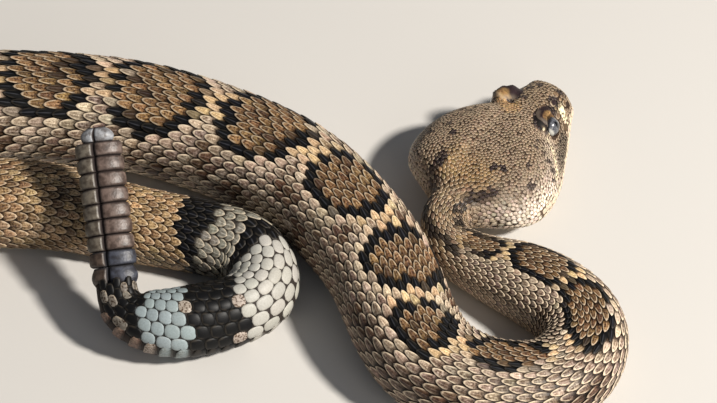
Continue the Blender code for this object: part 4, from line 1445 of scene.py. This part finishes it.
def scale_material():
    """Keeled scales: the marking's colour with dark centres and flecks, pale rims, painted shade at the
    roots and side edges where neighbours lap over them, and a painted highlight along the keel.
    """
    shader = Shader("scale", 0.46, 0.22)
    tint = shader.attribute("tint")
    along, across, keeled = shader.parts("inner")
    fleck, centre, plain = shader.parts("detail")
    side = shader.math("ABSOLUTE", across)
    base = tint.outputs["Color"]
    grain = shader.step(shader.noise(0.0005, 3.0), 0.40, 0.62)
    coarse = shader.math("SUBTRACT", 0.75, shader.product(plain, 0.55))
    base = shader.darker(base, (0.50, 0.46, 0.42), shader.product(grain, coarse))
    middle = shader.product(
        shader.step(side, 0.80, 0.20),
        shader.step(along, 0.96, 0.70),
        shader.step(shader.noise(0.0013, 3.0), 0.32, 0.60),
    )
    base = shader.darker(base, (0.40, 0.33, 0.27), shader.product(middle, centre))
    flecks = shader.product(shader.step(shader.noise(0.0007, 3.0), 0.50, 0.60), fleck)
    base = shader.darker(base, (0.22, 0.16, 0.12), flecks)
    # Painted shade: the root of each lapped scale, which lies under its neighbours, and the side edges of
    # every scale are darkened nearly to black, as if in the shadow of the scales over them.
    lapped = shader.math("SUBTRACT", 1.0, plain)
    root = shader.product(shader.step(along, 0.46, 0.18), lapped)
    root = shader.math("MAXIMUM", root, shader.step(side, 0.92, 1.0))
    base = shader.darker(base, (0.10, 0.08, 0.07), root)
    # Painted highlight and reflection: the middle of the keel is lightened and tinged bluish grey, as a lit
    # ridge glints.
    keel_highlight = shader.product(shader.step(side, 0.17, 0.03), keeled, shader.step(along, 0.20, 0.45))
    base = shader.lighter(base, 1.9, shader.product(keel_highlight, 0.8))
    base = shader.mix(base, rgba(150, 152, 164), shader.product(keel_highlight, 0.10))
    edge = shader.product(
        shader.step(side, 0.55, 0.78),
        shader.step(along, 0.38, 0.62),
        shader.step(side, 1.0, 0.93),
    )
    rim = shader.math("MAXIMUM", edge, shader.step(along, 0.80, 0.92))
    rim = shader.product(rim, tint.outputs["Alpha"])
    base = shader.mix(base, rgba(228, 208, 180), rim)
    shader.link(base, shader.surface.inputs["Base Color"])
    shader.bump(shader.noise(0.00025, 2.0), 0.00003, 0.6)
    return shader.material


def skin_material():
    """The soft skin between the scales: the markings, much darker."""
    shader = Shader("skin", 0.7, 0.3)
    tint = shader.attribute("tint")
    on_head = shader.product(tint.outputs["Alpha"], 0.75)
    deep = shader.darker(tint.outputs["Color"], (0.07, 0.055, 0.05), 1.0)
    base = shader.mix(deep, shader.darker(tint.outputs["Color"], (0.17, 0.13, 0.11), 1.0), on_head)
    shader.link(base, shader.surface.inputs["Base Color"])
    shader.bump(shader.noise(0.0005, 3.0), 0.00008, 0.6)
    return shader.material


def eye_material():
    """A dark upright slit in a mottled iris under a clear, wet surface."""
    shader = Shader("eye", 0.22, 0.5)
    across, upward, ahead = shader.parts("gaze")
    wide = shader.math("POWER", shader.math("DIVIDE", across, 0.30), 2.0)
    tall = shader.math("POWER", shader.math("DIVIDE", upward, 0.82), 2.0)
    slit = shader.math("ADD", wide, tall)
    pupil = shader.step(slit, 1.08, 0.92)
    mottle = shader.noise(0.0004, 3.0)
    pale_part = shader.step(mottle, 0.38, 0.62)
    iris = shader.mix(rgba(44, 46, 54), rgba(104, 106, 112), pale_part)
    behind = shader.product(shader.step(across, 0.66, 0.80), shader.step(upward, -0.75, -0.35))
    iris = shader.mix(iris, rgba(206, 204, 196), shader.product(behind, 0.85))
    outer = shader.step(ahead, 0.36, 0.20)
    iris = shader.mix(iris, rgba(30, 28, 30), outer)
    base = shader.mix(iris, rgba(10, 10, 14), pupil)
    shader.link(base, shader.surface.inputs["Base Color"])
    shader.surface.inputs["Coat Weight"].default_value = 1.0
    shader.surface.inputs["Coat Roughness"].default_value = 0.03
    return shader.material


def horn_material(name, lobe, far_lobe, seam_and_groove_shade, roughness):
    """Dry horn: two lobes of their own colour, worn pale in the middle, dark rough seams between the
    segments, painted shade as a dark rough line along the groove, and stains.
    """
    shader = Shader(name, roughness, 0.5)
    along, over, age = shader.parts("inner")
    centre = shader.math("ABSOLUTE", shader.math("SUBTRACT", along, 0.48))
    aside = shader.math("SUBTRACT", over, GROOVE_PLACE)
    groove = shader.math("ABSOLUTE", aside)
    # The dark seam colour marks the joints between segments, which are the horn's own, and also a thin line
    # along the groove, which is painted shade over the groove's lit wall; worn is where neither lies.
    worn = shader.product(shader.step(centre, 0.52, 0.34), shader.step(groove, 0.05, 0.13))
    stain = shader.step(shader.noise(0.0020, 4.0), 0.32, 0.66)
    beyond = shader.step(aside, 0.02, -0.02)
    tone = shader.mix(rgba(*lobe), rgba(*far_lobe), beyond)
    tone = shader.mix(tone, rgba(150, 152, 156), shader.step(age, 0.88, 1.0))
    body = shader.mix(shader.darker(tone, (0.36, 0.32, 0.30), 1.0), tone, stain)
    pale = shader.product(shader.step(shader.noise(0.0011, 3.0), 0.56, 0.70), 0.45)
    body = shader.lighter(body, 1.7, pale)
    base = shader.mix(rgba(*seam_and_groove_shade), body, worn)
    shader.link(base, shader.surface.inputs["Base Color"])
    dull = shader.math("SUBTRACT", 0.85, shader.product(worn, 0.85 - roughness))
    shader.link(dull, shader.surface.inputs["Roughness"])
    shader.bump(shader.noise(0.0006, 4.0), 0.00012, 0.8)
    return shader.material


def floor_material():
    shader = Shader("floor", 0.8, 0.2)
    shader.surface.inputs["Base Color"].default_value = (0.62, 0.60, 0.57, 1.0)
    return shader.material


# The setting.

CAMERA_ELEVATION = math.radians(50)
CAMERA_DISTANCE = 1.0
FOCAL_PIXELS = 2900
PICTURE_WIDTH = 717
SENSOR = 36.0


def aim(obj, target):
    """Turns an object so that it faces a point."""
    toward = Vector(target) - obj.location
    obj.rotation_mode = "QUATERNION"
    obj.rotation_quaternion = toward.to_track_quat("-Z", "Y")


def make_camera():
    """The photograph's view: from the front, half way down to the ground."""
    lens = bpy.data.cameras.new("camera")
    lens.sensor_width = SENSOR
    lens.lens = SENSOR * FOCAL_PIXELS / PICTURE_WIDTH
    lens.clip_start = 0.01
    camera = bpy.data.objects.new("camera", lens)
    target = Vector((-BOX_CENTRE[0], -BOX_CENTRE[1], 0.0))
    back = Vector((0.0, -math.cos(CAMERA_ELEVATION), math.sin(CAMERA_ELEVATION)))
    camera.location = target + back * CAMERA_DISTANCE
    bpy.context.scene.collection.objects.link(camera)
    aim(camera, target)
    bpy.context.scene.camera = camera


def area_light(name, place, target, size, power, tint):
    """A soft box that faces a point."""
    light = bpy.data.lights.new(name, "AREA")
    light.shape = "DISK"
    light.size = size
    light.energy = power
    light.color = tint
    holder = bpy.data.objects.new(name, light)
    holder.location = place
    bpy.context.scene.collection.objects.link(holder)
    aim(holder, target)


def make_setting():
    """A plain pale floor, a key light from the right and behind, and soft fill."""
    mesh = bpy.data.meshes.new("floor")
    mesh.from_pydata([(-3, -3, 0), (3, -3, 0), (3, 3, 0), (-3, 3, 0)], [], [(0, 1, 2, 3)])
    mesh.materials.append(floor_material())
    floor = bpy.data.objects.new("floor", mesh)
    floor.location.z = -0.0003
    bpy.context.scene.collection.objects.link(floor)
    middle = (0.08, 0.0, 0.0)
    area_light("key", (1.30, -0.50, 1.25), middle, 0.20, 49.0, (1.0, 0.95, 0.88))
    area_light("fill", (1.0, -1.25, 0.85), middle, 0.9, 3.5, (1.0, 0.95, 0.90))
    world = bpy.data.worlds.new("studio")
    world.use_nodes = True
    world.node_tree.nodes["Background"].inputs["Color"].default_value = (0.80, 0.88, 1.0, 1.0)
    world.node_tree.nodes["Background"].inputs["Strength"].default_value = 0.15
    bpy.context.scene.world = world
    bpy.context.scene.view_settings.view_transform = "Standard"


make_camera()
route = Route()
flesh = Flesh(route)
make_skin(flesh, skin_material())
scales = scale_material()
make_coat(flesh, scales)
make_scutes(flesh, scales)
eyes = eye_material()
make_eye(flesh, 1.0, "ball_eye_right", eyes)
make_eye(flesh, -1.0, "ball_eye_left", eyes)
horn = horn_material("horn", (106, 90, 82), (112, 104, 92), (34, 22, 19), 0.42)
base_horn = horn_material("base_horn", (66, 69, 80), (84, 70, 60), (20, 18, 24), 0.44)
make_rattle(route, horn, base_horn)
make_setting()
